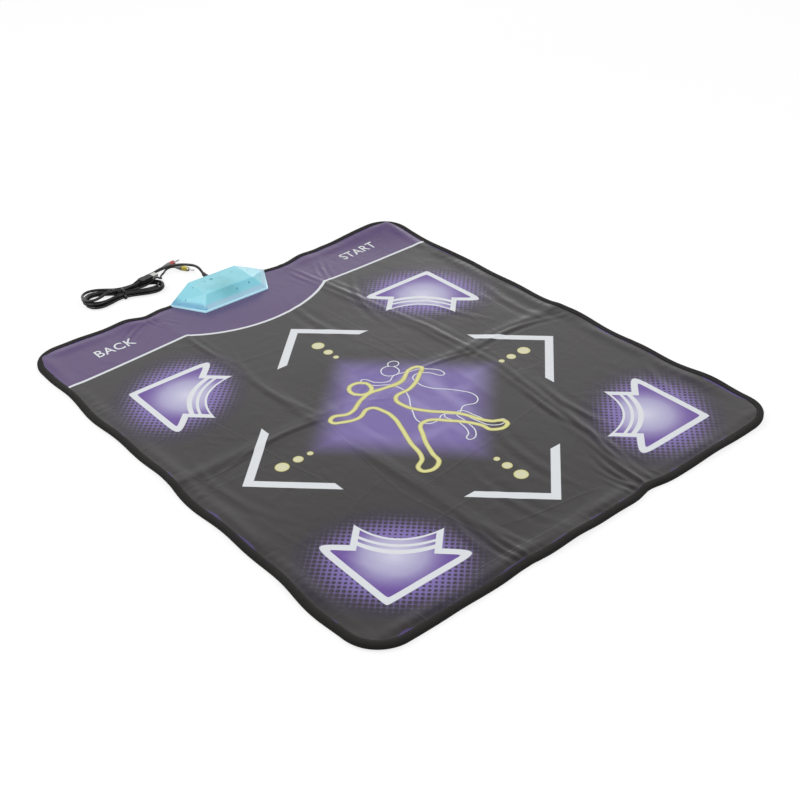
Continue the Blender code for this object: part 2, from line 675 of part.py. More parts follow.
halves = half_cutters()
side_origin = {"back": (0.0, 0.0, 0.0), "front": (0.0, FOLD_Y, BINDING_TOP + GAP)}
screw_cut, tail_cut = make_layers()
make_binding()
make_zones()
case_hole = make_case(screw_cut, tail_cut)
make_screws()
make_clamp_plate()
make_board(case_hole)
make_hank()
make_cords()
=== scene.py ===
import math
from functools import partial

import bmesh
import bpy
import numpy as np
from mathutils import Matrix, Vector


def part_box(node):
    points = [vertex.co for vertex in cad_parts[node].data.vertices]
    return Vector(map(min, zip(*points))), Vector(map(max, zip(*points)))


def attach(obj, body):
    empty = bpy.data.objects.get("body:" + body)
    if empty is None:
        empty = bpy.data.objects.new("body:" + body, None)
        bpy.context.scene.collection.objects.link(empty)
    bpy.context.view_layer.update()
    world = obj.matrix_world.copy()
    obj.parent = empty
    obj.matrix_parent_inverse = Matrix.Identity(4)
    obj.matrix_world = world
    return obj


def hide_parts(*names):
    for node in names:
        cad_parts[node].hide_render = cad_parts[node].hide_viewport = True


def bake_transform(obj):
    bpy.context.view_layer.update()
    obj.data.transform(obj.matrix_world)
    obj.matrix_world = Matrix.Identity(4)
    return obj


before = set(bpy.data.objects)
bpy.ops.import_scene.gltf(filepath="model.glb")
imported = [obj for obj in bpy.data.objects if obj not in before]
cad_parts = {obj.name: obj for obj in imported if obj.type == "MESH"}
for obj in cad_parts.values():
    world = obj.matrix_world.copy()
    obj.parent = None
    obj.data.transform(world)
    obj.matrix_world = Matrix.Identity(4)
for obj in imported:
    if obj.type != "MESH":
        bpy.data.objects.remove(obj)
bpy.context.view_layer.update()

mm = 0.001
scene = bpy.context.scene


def colour(hexCode):
    # sRGB hex to the linear values that the shader wants
    parts = [int(hexCode[i:i + 2], 16) / 255 for i in (1, 3, 5)]
    return (*[c / 12.92 if c <= 0.04045 else ((c + 0.055) / 1.055) ** 2.4 for c in parts], 1.0)


def addNode(tree, kind, *values, out=0, **settings):
    # kind may hold an operation after a dot; values fill the sockets in order, settings are fields or named sockets
    kind, _, operation = kind.partition(".")
    made = tree.nodes.new("ShaderNode" + kind)
    if operation:
        made.operation = operation
    pairs = list(zip(made.inputs, values))
    for name, value in settings.items():
        if hasattr(made, name):
            setattr(made, name, value)
        else:
            pairs.append((made.inputs[name.replace("_", " ")], value))
    for socket, value in pairs:
        if isinstance(value, bpy.types.NodeSocket):
            tree.links.new(value, socket)
        elif value is not None:
            socket.default_value = value
    return made.outputs[out] if len(made.outputs) else made


def newMaterial(name):
    # an empty material, and addNode held to its tree
    made = bpy.data.materials.new(name)
    made.use_nodes = True
    made.node_tree.nodes.clear()
    return made, partial(addNode, made.node_tree)


def mottle(add, place, scale, detail, low, high):
    # a soft noise and the two tones that it mixes
    noise = add("TexNoise", place, Scale=scale, Detail=detail)
    return noise, add("MixRGB", noise, colour(low), colour(high))


def plainMaterial(name, noise, tones, gloss, bump=0.0, grain=None, uv=None, glow=0.0, **look):
    # two tones mixed by a noise of (scale, detail); gloss is a roughness or a range, and grain a finer noise for bump
    made, add = newMaterial(name)
    place = add("UVMap", uv_map=uv) if uv else add("TexCoord", out=3)
    soft, tint = mottle(add, place, *noise, *tones)
    look.update(Base_Color=tint,
                Roughness=add("MapRange", soft, 0.3, 0.7, *gloss) if isinstance(gloss, tuple) else gloss)
    if bump:
        height = add("TexNoise", place, Scale=grain[0], Detail=grain[1]) if grain else soft
        look["Normal"] = add("Bump", Strength=bump, Distance=0.0002, Height=height)
    # glow gives the tint out as emission, a painted glow
    if glow:
        look.update(Emission_Color=tint, Emission_Strength=glow)
    add("OutputMaterial", add("BsdfPrincipled", **look))
    return made


def newPiece(name, data, material=None):
    if isinstance(data, bmesh.types.BMesh):
        mesh = bpy.data.meshes.new(name)
        data.to_mesh(mesh)
        data.free()
        data = mesh
    made = bpy.data.objects.new(name, data)
    scene.collection.objects.link(made)
    if material:
        data.materials.clear()
        data.materials.append(material)
    return made


def curveMesh(name, curve, material=None):
    # a curve or text object turned into a plain mesh piece
    held = bpy.data.objects.new(name + "Curve", curve)
    scene.collection.objects.link(held)
    mesh = bpy.data.meshes.new_from_object(held.evaluated_get(bpy.context.evaluated_depsgraph_get()))
    bpy.data.objects.remove(held)
    mesh.name = name
    return newPiece(name, mesh, material)


def newCurve(name, lines, closed=False, **settings):
    # smooth lines through the given places, with the curve's own settings
    curve = bpy.data.curves.new(name, "CURVE")
    for key, value in settings.items():
        setattr(curve, key, value)
    for line in lines:
        spline = curve.splines.new("BEZIER")
        spline.bezier_points.add(len(line) - 1)
        spline.use_cyclic_u = closed
        for knot, place in zip(spline.bezier_points, line):
            knot.co = place
            knot.handle_left_type = knot.handle_right_type = "AUTO"
    return curve


def takeShape(made):
    # a piece's mesh for more work, and the piece itself let go
    bm = bmesh.new()
    bm.from_mesh(made.data)
    bpy.data.objects.remove(made)
    return bm


def newVerts(made):
    return [g for g in made["geom"] if isinstance(g, bmesh.types.BMVert)]


def fasten(piece, body, slot, *nodes):
    # a piece with a body hangs on that body's empty; one without keeps its place, baked into its mesh; the named CAD
    # nodes are hidden
    if body:
        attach(piece, body)
    else:
        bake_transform(piece)
    if nodes:
        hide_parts(*nodes)


# the main view: place in metres, turn in radians
cameraView = {"place": (-1.0124, -1.3245, 1.0584), "turn": (-0.7397, 0.9932, 0.0592), "lens": 54.82}
cameraData = bpy.data.cameras.new("mainCamera")
cameraData.lens = cameraView["lens"]
camera = bpy.data.objects.new("mainCamera", cameraData)
scene.collection.objects.link(camera)
yaw, pitch, roll = cameraView["turn"]
turned = Matrix.Rotation(yaw, 4, "Z") @ Matrix.Rotation(pitch, 4, "X") @ Matrix.Rotation(roll, 4, "Y")
camera.matrix_world = Matrix.Translation(cameraView["place"]) @ turned
scene.camera = camera
print("camera placed")

# the main cord is wound into a flat hank behind the mat; three thin leads leave it at a moulded sleeve
cordShape = {
    "diameter": 5.0,
    "leadDiameter": 3.6,
    "hankCentre": (-158.0, 573.0),
    "hankTurn": -12.0,
    "halfLength": 80.0,
    "endRadii": (26.0, 31.0),
    "waist": 17.0,
    "pointsPerTurn": 22,
}


def hankPlace(x, y, z):
    # from the hank's own axes to the row frame, all in mm
    turn = math.radians(cordShape["hankTurn"])
    cx, cy = cordShape["hankCentre"]
    return (cx + x * math.cos(turn) - y * math.sin(turn), cy + x * math.sin(turn) + y * math.cos(turn), z)


def hankLane(degrees, inset, stretch=0.0):
    # the hank's outline drawn in by inset: round ends and a waist under the tie
    turn = degrees % 360.0
    quarter = turn if turn <= 90 else abs(180 - turn) if turn <= 270 else 360 - turn
    end = cordShape["endRadii"][0 if turn <= 90 or turn >= 270 else 1]
    straight = cordShape["halfLength"] - end
    radius = end - inset
    if quarter < 45:
        angle = math.radians(2 * quarter)
        x, y = straight + (radius + stretch) * math.cos(angle), radius * math.sin(angle)
    else:
        share = (quarter - 45) / 45
        x = straight * (1 - share)
        y = cordShape["waist"] - inset + (end - cordShape["waist"]) * (1 + math.cos(math.pi * share)) / 2
    return (x if turn <= 90 or turn >= 270 else -x), (y if turn <= 180 else -y)


def hankTurns(first, last, insets, heights, stretches, sways):
    # the winding between two angles; inset, height, end reach and sideways sway come from tables of (angle, value)
    steps = max(2, round(abs(last - first) / 360 * cordShape["pointsPerTurn"]))
    route = []
    for i in range(steps + 1):
        degrees = first + (last - first) * i / steps
        inset, z, stretch, sway = (np.interp(degrees, *zip(*t)) for t in (insets, heights, stretches, sways))
        x, y = hankLane(degrees, inset, stretch)
        route.append(hankPlace(x, y + sway, z))
    return route


def cordCurve(name, route, diameter, material):
    curve = newCurve(name, [[Vector(place) * mm for place in route]], dimensions="3D", bevel_depth=diameter / 2 * mm,
                     bevel_resolution=3, use_fill_caps=True, resolution_u=5)
    return newPiece(name, curve, material)


# extruded PVC: near black, with soft satin streaks
cordLook = plainMaterial("pvcCordJacket", (60.0, 2.0), ("#0d0c0d", "#171618"), (0.13, 0.22), 0.12, (900.0, 3.0),
                         IOR=1.56)

routeOut = [
    (-22, 493.5, 22), (-21.7, 504, 22.4), (-20.4, 514.5, 24.6), (-18.6, 528, 26.8), (-18.4, 543, 26),
    (-20.8, 559.6, 22.8), (-24.8, 576, 18.8), (-31.6, 590.5, 15), (-41.5, 600, 12.2), (-56, 602.5, 11),
    (-71.5, 600.5, 10.9), (-86, 597.5, 10.9), (-102, 594.8, 10.7),
]
wound = hankTurns(
    68, 1600,
    [(68, 4.4), (240, 4.4), (420, 9.4), (640, 10.2), (780, 12.9), (1140, 7.8), (1500, 2.6), (1600, 2.6)],
    [(68, 10.2), (690, 9.9), (780, 4.6), (1500, 4.6), (1600, 8.0)],
    [(68, 2), (180, -3), (360, 3), (540, 2), (720, 0), (900, 4), (1080, 1), (1260, -3), (1440, 0), (1600, -3)],
    [(68, 0), (90, 0), (180, 11), (270, 0), (360, -5), (450, 0), (540, -7), (630, 0), (720, 3), (810, 0), (900, 4),
     (990, 0), (1080, -3), (1170, 0), (1260, -6), (1350, 0), (1500, 0), (1600, -3)],
)
overTop = [(-74, 6, 11), (-74.5, -5, 13.6), (-69.5, -14.5, 15.6), (-58.5, -18, 16.2), (-45.5, -13, 16.2),
           (-32, -4, 16.2), (-20, -0.4, 16.2)]
mainCord = cordCurve("mainCord", routeOut + wound + [hankPlace(*p) for p in overTop], cordShape["diameter"], cordLook)

leadRoutes = {
    "powerLead": [(-15, 0, 16.4), (-8, 0, 15), (-2, 0, 14), (4, 0, 13.9), (11, 0.2, 14.6), (20, -0.6, 17.2),
                  (28, -0.9, 19.2), (35.8, 1.9, 19.6)],
    "audioLead": [(-15, 1.9, 16), (-8, 1.9, 12.6), (-2, 1.9, 10.8), (5, 2.1, 10.8), (13, 3.6, 12.8), (24, 9.2, 15.1),
                  (34, 18, 15.2), (41, 27, 13.6), (44.8, 35.5, 8.6), (46.5, 43, 6)],
    "videoLead": [(-15, -1.9, 16), (-8, -1.9, 12.6), (-2, -1.9, 10.8), (5, -2, 10.8), (14, -3.2, 11.4),
                  (28, -5, 11.6), (42, -3, 11.9), (54, 2, 13.2), (63, 8, 15), (70.5, 14.5, 14.2), (76.5, 20, 9),
                  (81.5, 25, 4.6)],
}
leadEnds = {
    "powerLead": [],
    "audioLead": [(-86, 606.8, 5.4), (-72, 611.5, 5), (-56.8, 616.6, 4.8), (-47.3, 618.25, 4.8)],
    "videoLead": [(-68, 591.5, 2.6), (-55, 602.5, 2.1), (-43.5, 610.6, 2.6), (-33.6, 608.6, 4.2),
                  (-28.2, 602.3, 4.8)],
}
leadPlaces = {name: [hankPlace(*p) for p in route] + leadEnds[name] for name, route in leadRoutes.items()}
leads = {name: cordCurve(name, route, cordShape["leadDiameter"], cordLook) for name, route in leadPlaces.items()}
for made in (mainCord, *leads.values()):
    print(made.name, round(made.data.splines[0].calc_length(), 3), "m long")

# a pale studio: even sky light, a key, a wide fill and a low strip behind
studio = {"skyLight": 0.62, "skyMirror": 1.0, "ceiling": 0.16, "keyPower": 26.0, "floorTone": 0.3, "floorGlow": 0.76}
world = bpy.data.worlds.new("paleStudio")
scene.world = world
world.use_nodes = True
world.node_tree.nodes.clear()
add = partial(addNode, world.node_tree)
seen = add("LightPath")
rays = seen.node.outputs
mirror = add("Math.MAXIMUM", rays["Is Glossy Ray"], rays["Is Transmission Ray"])
# mirrors see a white sweep low down and a darker ceiling
heading = add("SeparateXYZ", add("TexCoord", out=0))
ceiling = add("MapRange", heading.node.outputs[2], 0.5, 0.97, studio["skyMirror"], studio["ceiling"],
              interpolation_type="SMOOTHSTEP")
level = add("MixRGB", mirror, (studio["skyLight"],) * 3 + (1.0,), ceiling)
level = add("Math.MAXIMUM", level, rays["Is Camera Ray"])
add("OutputWorld", add("Background", (1.0, 1.0, 1.0, 1.0), level))

for name, place, size, power in (("keySoftbox", (-1.6, 1.3, 2.6), 1.8, studio["keyPower"]),
                                 ("fillSoftbox", (0.3, -2.3, 2.2), 2.2, studio["keyPower"] * 0.65),
                                 ("rimStrip", (2.5, 2.7, 0.72), 1.0, studio["keyPower"] * 0.15)):
    lamp = bpy.data.lights.new(name, "AREA")
    lamp.size = size
    lamp.energy = power
    lampObject = bpy.data.objects.new(name, lamp)
    scene.collection.objects.link(lampObject)
    lampObject.visible_camera = False
    aimed = (-Vector(place)).to_track_quat("-Z", "Y").to_matrix().to_4x4()
    lampObject.matrix_world = Matrix.Translation(place) @ aimed
scene.view_settings.view_transform = "Standard"

# matte seamless paper: white to the camera, and it keeps a faint shadow
floorPaper, add = newMaterial("seamlessPaper")
seen = add("LightPath")
glow = add("Math.MULTIPLY", seen, studio["floorGlow"])
glow = add("Emission", (1.0, 1.0, 1.0, 1.0), glow)
tone = studio["floorTone"]
matte = add("BsdfDiffuse", (tone, tone, tone, 1.0))
add("OutputMaterial", add("AddShader", glow, matte))
bm = bmesh.new()
bmesh.ops.create_grid(bm, x_segments=4, y_segments=4, size=12.0)
floor = newPiece("floor", bm, floorPaper)
print("studio lit")

# the laid mat, in mm
matShape = {
    "halfWidth": 400.0,
    "halfLength": 475.0,
    "corner": 60.0,
    "foldY": -8.0,
    "foldReach": 14.0,
    "coverTop": 6.9,
    "cell": 3.2,
    # soft lifts of the whole mat off the floor: x, y, reach in x, reach in y, height
    "swells": [
        (400, 475, 95, 80, 13.0), (300, 490, 60, 45, 5.0), (-400, 480, 70, 60, 3.0), (-210, 480, 26, 34, 3.4),
        (-300, 485, 30, 30, 1.8), (175, 480, 26, 40, 3.0), (225, 482, 18, 30, 1.2),
        (410, -480, 80, 70, 5.0), (250, -490, 40, 30, 3.6), (40, -485, 34, 34, 2.2), (-40, -485, 30, 30, 3.0),
        (-60, -480, 60, 50, 1.4), (-400, -470, 60, 60, 2.2), (-250, -488, 30, 26, 1.6),
        (-405, 330, 22, 36, 2.4), (-405, 180, 22, 50, 2.2), (-405, 20, 24, 44, 3.2), (-405, -150, 22, 50, 1.8),
        (-405, -300, 22, 40, 2.6), (405, 300, 24, 50, 4.0), (405, 120, 24, 60, 2.4), (405, -30, 26, 50, 3.6),
        (405, -210, 24, 50, 2.0), (405, -340, 24, 40, 3.2),
    ],
    # long folds left from packing: x at six places from back to front, width, height
    "longFolds": [
        ((-162, -158, -150, -142, -132, -124), 8.0, 1.3),
        ((-146, -143, -138, -130, -122, -110), 6.0, 0.6),
        ((122, 150, 176, 182, 150, 104), 7.0, 1.7),
        ((108, 134, 162, 165, 138, 94), 6.0, 0.9),
        ((136, 166, 193, 198, 162, 114), 6.0, 0.6),
    ],
    "longFoldY": (475, 285, 95, -95, -285, -475),
}


def easeIn(low, high, value):
    share = np.clip((value - low) / (high - low), 0.0, 1.0)
    return share * share * (3.0 - 2.0 * share)


def clearOfBox(x, y):
    # the mat stays flat under the control box, which is screwed through it
    return easeIn(2.0, 62.0, np.hypot(np.maximum(abs(x + 18) - 100, 0), np.maximum(388 - y, 0)))


def matLift(x, y):
    lift = np.zeros_like(x)
    for cx, cy, rx, ry, height in matShape["swells"]:
        lift += height * np.exp(-((x - cx) / rx) ** 2 - ((y - cy) / ry) ** 2)
    for line, width, height in matShape["longFolds"]:
        centre = np.interp(-y, [-v for v in matShape["longFoldY"]], line)
        lift += height * np.exp(-((x - centre) / width) ** 2) * (0.75 + 0.25 * np.sin(y / 37.0))
    lift += 1.2 * np.exp(-((y + 8) / 12.0) ** 2)
    return lift * clearOfBox(x, y)


# creases of the top sheet: x, y, direction in degrees, half length, wave length, waves, height
creases = [
    (120, -450, 80, 24, 8.5, 3.4, 0.5), (98, -454, 68, 20, 8, 2.6, 0.4), (142, -444, 97, 26, 8.5, 2.6, 0.4),
    (112, -425, 84, 60, 17, 2.6, 2.0), (130, -372, 76, 60, 15, 2.2, 1.3), (88, -440, 98, 36, 13, 2, 1.0),
    (150, -300, 80, 70, 24, 1.4, 1.2), (178, -240, 86, 70, 28, 1.2, 1.3), (146, -230, 84, 60, 22, 1.0, 0.9),
    (-140, -428, 92, 46, 15, 2.4, 1.1), (-158, -380, 80, 50, 20, 1.4, 0.7), (-118, -400, 104, 40, 18, 1.2, 0.5),
    (-150, 120, 90, 150, 26, 1.0, 0.5), (-156, 300, 92, 60, 18, 1.6, 0.6), (150, 250, 70, 90, 24, 1.4, 0.8),
    (120, 400, 96, 40, 16, 2.2, 0.8), (172, 396, 66, 30, 14, 2.0, 0.7), (60, -8, 2, 110, 16, 1.2, 0.7),
    (-40, 8, 28, 30, 14, 1.2, 0.8), (-44, -24, -30, 30, 14, 1.2, 0.8), (-230, -10, 4, 120, 18, 1.2, 0.5),
    (270, -14, -4, 90, 18, 1.4, 0.7), (-230, 418, 38, 40, 15, 1.6, 0.7), (-140, 405, 120, 34, 14, 1.8, 0.8),
    (-176, 440, 100, 24, 11, 2.0, 0.6), (340, 60, 86, 80, 30, 1.4, 0.7), (-350, -60, 92, 90, 30, 1.4, 0.6),
    (330, -300, 70, 60, 26, 1.4, 0.6), (-300, -330, 110, 60, 24, 1.4, 0.5), (30, -300, 86, 80, 30, 1.4, 0.5),
    (-60, -360, 94, 70, 28, 1.6, 0.5), (40, 250, 90, 80, 28, 1.5, 0.5), (240, 130, 100, 70, 26, 1.4, 0.5),
]
rng = np.random.default_rng(11)
for _ in range(90):
    creases.append((rng.uniform(-380, 380), rng.uniform(-450, 380), rng.choice([0, 90]) + rng.normal(0, 24),
                    rng.uniform(18, 60), rng.uniform(16, 40), rng.uniform(0.8, 1.6), rng.uniform(0.03, 0.15)))


def coverRipple(x, y):
    # small creases that only the top sheet has; they die out at the binding and by the box
    rise = 0.35 * np.sin(x / 41.0 + np.sin(y / 90.0)) + 0.3 * np.sin(y / 53.0 + 1.4 * np.sin(x / 120.0))
    for cx, cy, degrees, half, wave, waves, height in creases:
        turn = math.radians(degrees)
        along = (x - cx) * math.cos(turn) + (y - cy) * math.sin(turn)
        across = (y - cy) * math.cos(turn) - (x - cx) * math.sin(turn)
        bent = across + 0.0016 * along * along
        rise += 1.05 * height * np.cos(2 * math.pi * bent / wave) * np.exp(
            -(along / half) ** 2 - (bent / (0.5 * wave * waves)) ** 2)
    edge = np.minimum(matShape["halfWidth"] - abs(x), matShape["halfLength"] - abs(y))
    side = np.where(matShape["halfWidth"] - abs(x) < matShape["halfLength"] - abs(y), y, x)
    # the sheet puffs up beside the tape and is gathered by the sewing
    puff = 1.0 + 0.5 * np.sin(side / 29.0) + 0.14 * np.sin(side / 11.0 + np.sin(side / 50.0))
    rise += puff * np.exp(-((edge - 24) / 11) ** 2)
    rise += 0.13 * np.sin(side / 2.6 + 2.0 * np.sin(side / 31.0)) * np.exp(-((edge - 18) / 16) ** 2) * (
        0.5 + 0.5 * np.sin(side / 43.0 + 2.0))
    rise = np.where(rise < 0, 0.7 * np.tanh(rise / 0.7), rise)
    return rise * easeIn(9.0, 22.0, edge) * clearOfBox(x, y)


def rimPull(x, y):
    # the back and front edges are drawn in a little between the lifts
    back = -9.0 * np.exp(-((x + 172) / 26) ** 2) - 8.0 * np.exp(-((x - 122) / 34) ** 2) - 4.0 * np.exp(
        -((x + 122) / 16) ** 2)
    front = 6.0 * np.exp(-((x - 112) / 26) ** 2) + 3.0 * np.exp(-((x + 140) / 30) ** 2)
    side = 2.2 * np.sin(y / 46.0) + 1.5 * np.sin(y / 23.0 + 1.0)
    dy = back * easeIn(410, 470, y) + front * easeIn(410, 470, -y)
    dx = side * easeIn(350, 400, abs(x)) * easeIn(-475, -400, -abs(y)) * -np.sign(x)
    return dx, dy


def settle(points, ripple=0.0):
    # flat places in mm to where the laid mat really has them, in metres
    x, y, z = points.T
    dx, dy = rimPull(x, y)
    lift = matLift(x, y)
    if ripple:
        lift = lift + ripple * coverRipple(x, y)
    return np.stack([x + dx, y + dy, z + lift], axis=1) * mm


def settleMesh(mesh, ripple=0.0):
    # moves a mesh from its flat places in mm and gives those back
    flat = np.empty(len(mesh.vertices) * 3)
    mesh.vertices.foreach_get("co", flat)
    flat = flat.reshape(-1, 3)
    mesh.vertices.foreach_set("co", settle(flat, ripple).ravel())
    return flat


def finishLayer(name, bm, material, ripple=0.0):
    # a flat layer gets its plan as a UV map in metres, and settles onto the floor
    made = newPiece(name, bm, material)
    mesh = made.data
    flat = settleMesh(mesh, ripple)
    corners = np.empty(len(mesh.loops), dtype=np.int32)
    mesh.loops.foreach_get("vertex_index", corners)
    plan = mesh.uv_layers.new(name="matPlan")
    plan.data.foreach_set("uv", (flat[corners, :2] * mm).ravel())
    mesh.polygons.foreach_set("use_smooth", np.ones(len(mesh.polygons), dtype=bool))
    mesh.update()
    return made


def rimInset(x, y):
    # how far a place is inside the mat's rounded outline
    r = matShape["corner"]
    ox = abs(x) - (matShape["halfWidth"] - r)
    oy = abs(y) - (matShape["halfLength"] - r)
    return r - math.hypot(max(ox, 0), max(oy, 0)) - min(max(ox, oy), 0)


def layerGrid(west, east, south, north, cell, z, columns=(), rows=()):
    # a grid whose nearest lines are moved onto the wanted columns and rows
    bm = bmesh.new()
    counts = (round((east - west) / cell), round((north - south) / cell))
    bmesh.ops.create_grid(bm, x_segments=counts[0], y_segments=counts[1], size=0.5)
    axes = ((0, west, east, counts[0], columns), (1, south, north, counts[1], rows))
    for vert in bm.verts:
        for axis, low, high, count, _ in axes:
            share = round((vert.co[axis] + 0.5) * count)
            vert.co[axis] = low + (high - low) * share / count
        vert.co.z = z
    for axis, low, high, count, lines in axes:
        near = {round((line - low) / (high - low) * count): line for line in lines}
        near.update({0: low, count: high})
        slots = sorted(near)
        was = [low + (high - low) * i / count for i in slots]
        for vert in bm.verts:
            vert.co[axis] = np.interp(vert.co[axis], was, [near[i] for i in slots])
    return bm


zones = {}
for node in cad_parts:
    if node.startswith("panel_"):
        low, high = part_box(node)
        zones[node[6:]] = (low[0] / mm - 0.3, high[0] / mm + 0.3, low[1] / mm - 0.3, high[1] / mm + 0.3)


# calendered soft PVC, screen printed: dark warm grey ground with a wet-looking sheen and a fine leather emboss
ink = {
    "ground": "#2a2728", "groundPale": "#332f30", "rim": "#4a3a6e", "header": "#5a4574", "line": "#e4e8ec",
    "arrowPale": "#d3d3ea", "arrowMid": "#7f69b0", "arrowDeep": "#6a4a9e", "halo": "#836fb6",
    "screen": "#2a2333", "haze": "#7664a8", "hazePale": "#968bc2", "dot": "#dedcb6", "dotRim": "#d3cd7a",
}
diagonal = 0.7071  # sine of 45 degrees
softLine = (-0.4, 0.4)  # a printed edge fades over this many mm
# places of the print in mm, measured from the middle of the mat
art = {
    "centre": (-5.0, -78.0), "arrowTip": (319.0, 333.0), "headerY": 353.0, "headerArc": (-3.0, 545.0, 243.0),
    "bracketReach": (317.0, 307.0), "bracketWidth": 14.0, "bracketEnds": (86.0, 94.0),
    "dots": ((247.0, 11.0), (218.0, 8.0), (196.0, 5.0)), "screenPitch": 7.8, "haze": (-10.0, -75.0),
}
printedVinyl, add = newMaterial("printedVinyl")
plan = add("UVMap", uv_map="matPlan")
plan = add("VectorMath.MULTIPLY", plan, (1000.0, 1000.0, 1000.0))
x, y, _ = add("SeparateXYZ", plan).node.outputs

# purple band along the back with its white border
cx, cy, radius = art["headerArc"]
arc = add("VectorMath.DISTANCE", plan, (cx, cy, 0), out=1)
arc = add("Math.SUBTRACT", arc, radius)
# its straight part falls away a little towards the west edge
fall = add("MapRange", x, -400.0, -170.0, 17.0, 0.0)
band = add("Math.SUBTRACT", add("Math.SUBTRACT", art["headerY"], fall), y)
band = add("Math.MINIMUM", band, arc)
header = add("MapRange", band, -0.3, 0.3, 1.0, 0.0)
border = add("Math.ABSOLUTE", band)
border = add("MapRange", border, 2.2, 3.0, 1.0, 0.0)

# the print repeats in four quarters about its centre
folded = add("VectorMath.SUBTRACT", plan, (*art["centre"], 0))
folded = add("VectorMath.ABSOLUTE", folded)
ax, ay, _ = add("SeparateXYZ", folded).node.outputs
ring = add("Math.ADD", ax, ay)
arms = []
for reach, end, side in zip(art["bracketReach"], art["bracketEnds"], (ay, ax)):
    arm = add("Math.SUBTRACT", ring, reach)
    arm = add("Math.ABSOLUTE", arm)
    arm = add("Math.SUBTRACT", arm, art["bracketWidth"] * 0.707)
    cut = add("Math.SUBTRACT", reach - end, side)
    arms.append(add("Math.MAXIMUM", arm, cut))
bracket = add("Math.MINIMUM", *arms)
bracket = add("MapRange", bracket, *softLine, 1.0, 0.0)

# three dots on each of the four axes
far = add("Math.MAXIMUM", ax, ay)
near = add("Math.MINIMUM", ax, ay)
onAxis = add("CombineXYZ", far, near)
dot = 1000.0
for place, radius in art["dots"]:
    one = add("VectorMath.DISTANCE", onAxis, (place, 0, 0), out=1)
    one = add("Math.SUBTRACT", one, radius)
    dot = add("Math.MINIMUM", one, dot)
dotMask = add("MapRange", dot, -0.3, 0.3, 1.0, 0.0)
dotRim = add("MapRange", dot, -2.2, -0.6, 0.0, 1.0)

# arrows: u runs out to the tip along the diagonal, v across it
tip = add("VectorMath.SUBTRACT", folded, (*art["arrowTip"], 0))
u = add("VectorMath.DOT_PRODUCT", tip, (diagonal, diagonal, 0), out=1)
v = add("VectorMath.DOT_PRODUCT", tip, (diagonal, -diagonal, 0), out=1)
v2 = add("Math.MULTIPLY", v, v)
v = add("Math.SQRT", add("Math.ADD", v2, 5.0))
back = add("Math.MULTIPLY", -1.0, u)
flank = add("Math.MULTIPLY", add("Math.ADD", v, u), diagonal)
heel = add("Math.SUBTRACT", back, 115.5)
headOut = add("Math.SMOOTH_MAX", flank, heel, 34.0)
tail = add("Math.SUBTRACT", add("Math.MULTIPLY_ADD", v2, -26 / 3844, -133.0), u)
neck = add("Math.SUBTRACT", v, 62.0)
neckOut = add("Math.MAXIMUM", add("Math.MAXIMUM", neck, tail), add("Math.ADD", u, 110.0))
outer = add("Math.MINIMUM", headOut, neckOut)
flankIn = add("Math.ADD", flank, 10.3)
heelIn = add("Math.SUBTRACT", back, 104.5)
headIn = add("Math.SMOOTH_MAX", flankIn, heelIn, 8.0)
bar = add("MapRange", u, -160.0, -146.0, 7.0, 9.6)
neckIn = add("Math.MAXIMUM", add("Math.ADD", neck, bar), add("Math.ADD", u, 100.0))
inner = add("Math.MINIMUM", headIn, neckIn)
arcs = 1000.0
for place, bend, half in ((-131.0, -26 / 3844, 1.9), (-118.0, -13 / 2500, 2.6), (-105.0, -14.5 / 2809, 4.2)):
    one = add("Math.MULTIPLY_ADD", v2, bend, place)
    one = add("Math.ABSOLUTE", add("Math.SUBTRACT", u, one))
    arcs = add("Math.MINIMUM", add("Math.SUBTRACT", one, half), arcs)
outline = add("Math.MINIMUM", add("Math.MULTIPLY", -1.0, inner), arcs)
outline = add("Math.MAXIMUM", outline, outer)
outline = add("MapRange", outline, *softLine, 1.0, 0.0)
arrow = add("MapRange", outer, *softLine, 1.0, 0.0)
glowPlace = add("CombineXYZ", u, v)
shine = add("VectorMath.DISTANCE", glowPlace, (-100.0, 0, 0), out=1)
shine = add("MapRange", shine, 4.0, 74.0)
fill = add("MixRGB", shine, colour(ink["arrowPale"]), colour(ink["arrowMid"]))
deep = add("MapRange", shine, 0.55, 1.0)
fill = add("MixRGB", deep, fill, colour(ink["arrowDeep"]))

# halftone glow round each arrow: round dots on a square screen turned 45 degrees
reach = add("VectorMath.MULTIPLY", glowPlace, (1.12, 0.90, 0))
reach = add("VectorMath.DISTANCE", reach, (-96.0, 0, 0), out=1)
glow = add("MapRange", reach, 58.0, 122.0, 1.0, 0.0, interpolation_type="SMOOTHSTEP")
pitch = diagonal / art["screenPitch"]
slant = [add("VectorMath.DOT_PRODUCT", plan, (pitch, way * pitch, 0), out=1) for way in (1, -1)]
cell = add("VectorMath.FRACTION", add("CombineXYZ", *slant))
cell = add("VectorMath.DISTANCE", cell, (0.5, 0.5, 0), out=1)
size = add("MapRange", reach, 62.0, 118.0, 0.24, 0.56)
screen = add("MapRange", add("Math.SUBTRACT", cell, size), -0.06, 0.06, 1.0, 0.0)

# soft glow in the middle, with pale streaks along the sheet
hazeAt = add("VectorMath.SUBTRACT", plan, (*art["haze"], 0))
hazeAt = add("VectorMath.ABSOLUTE", hazeAt)
haze = add("Math.ADD", *add("SeparateXYZ", hazeAt).node.outputs[:2])
haze = add("MapRange", haze, 118.0, 212.0, 1.0, 0.0, interpolation_type="SMOOTHSTEP")
streaks = []
for stretch in ((0.0035, 0.021, 0.0), (0.024, 0.004, 0.0)):
    stretched = add("VectorMath.MULTIPLY", plan, stretch)
    streaks.append(add("TexNoise", stretched, Scale=1.0, Detail=1.0))
streak = add("Math.MAXIMUM", *streaks)
streak = add("MapRange", streak, 0.5, 0.78)

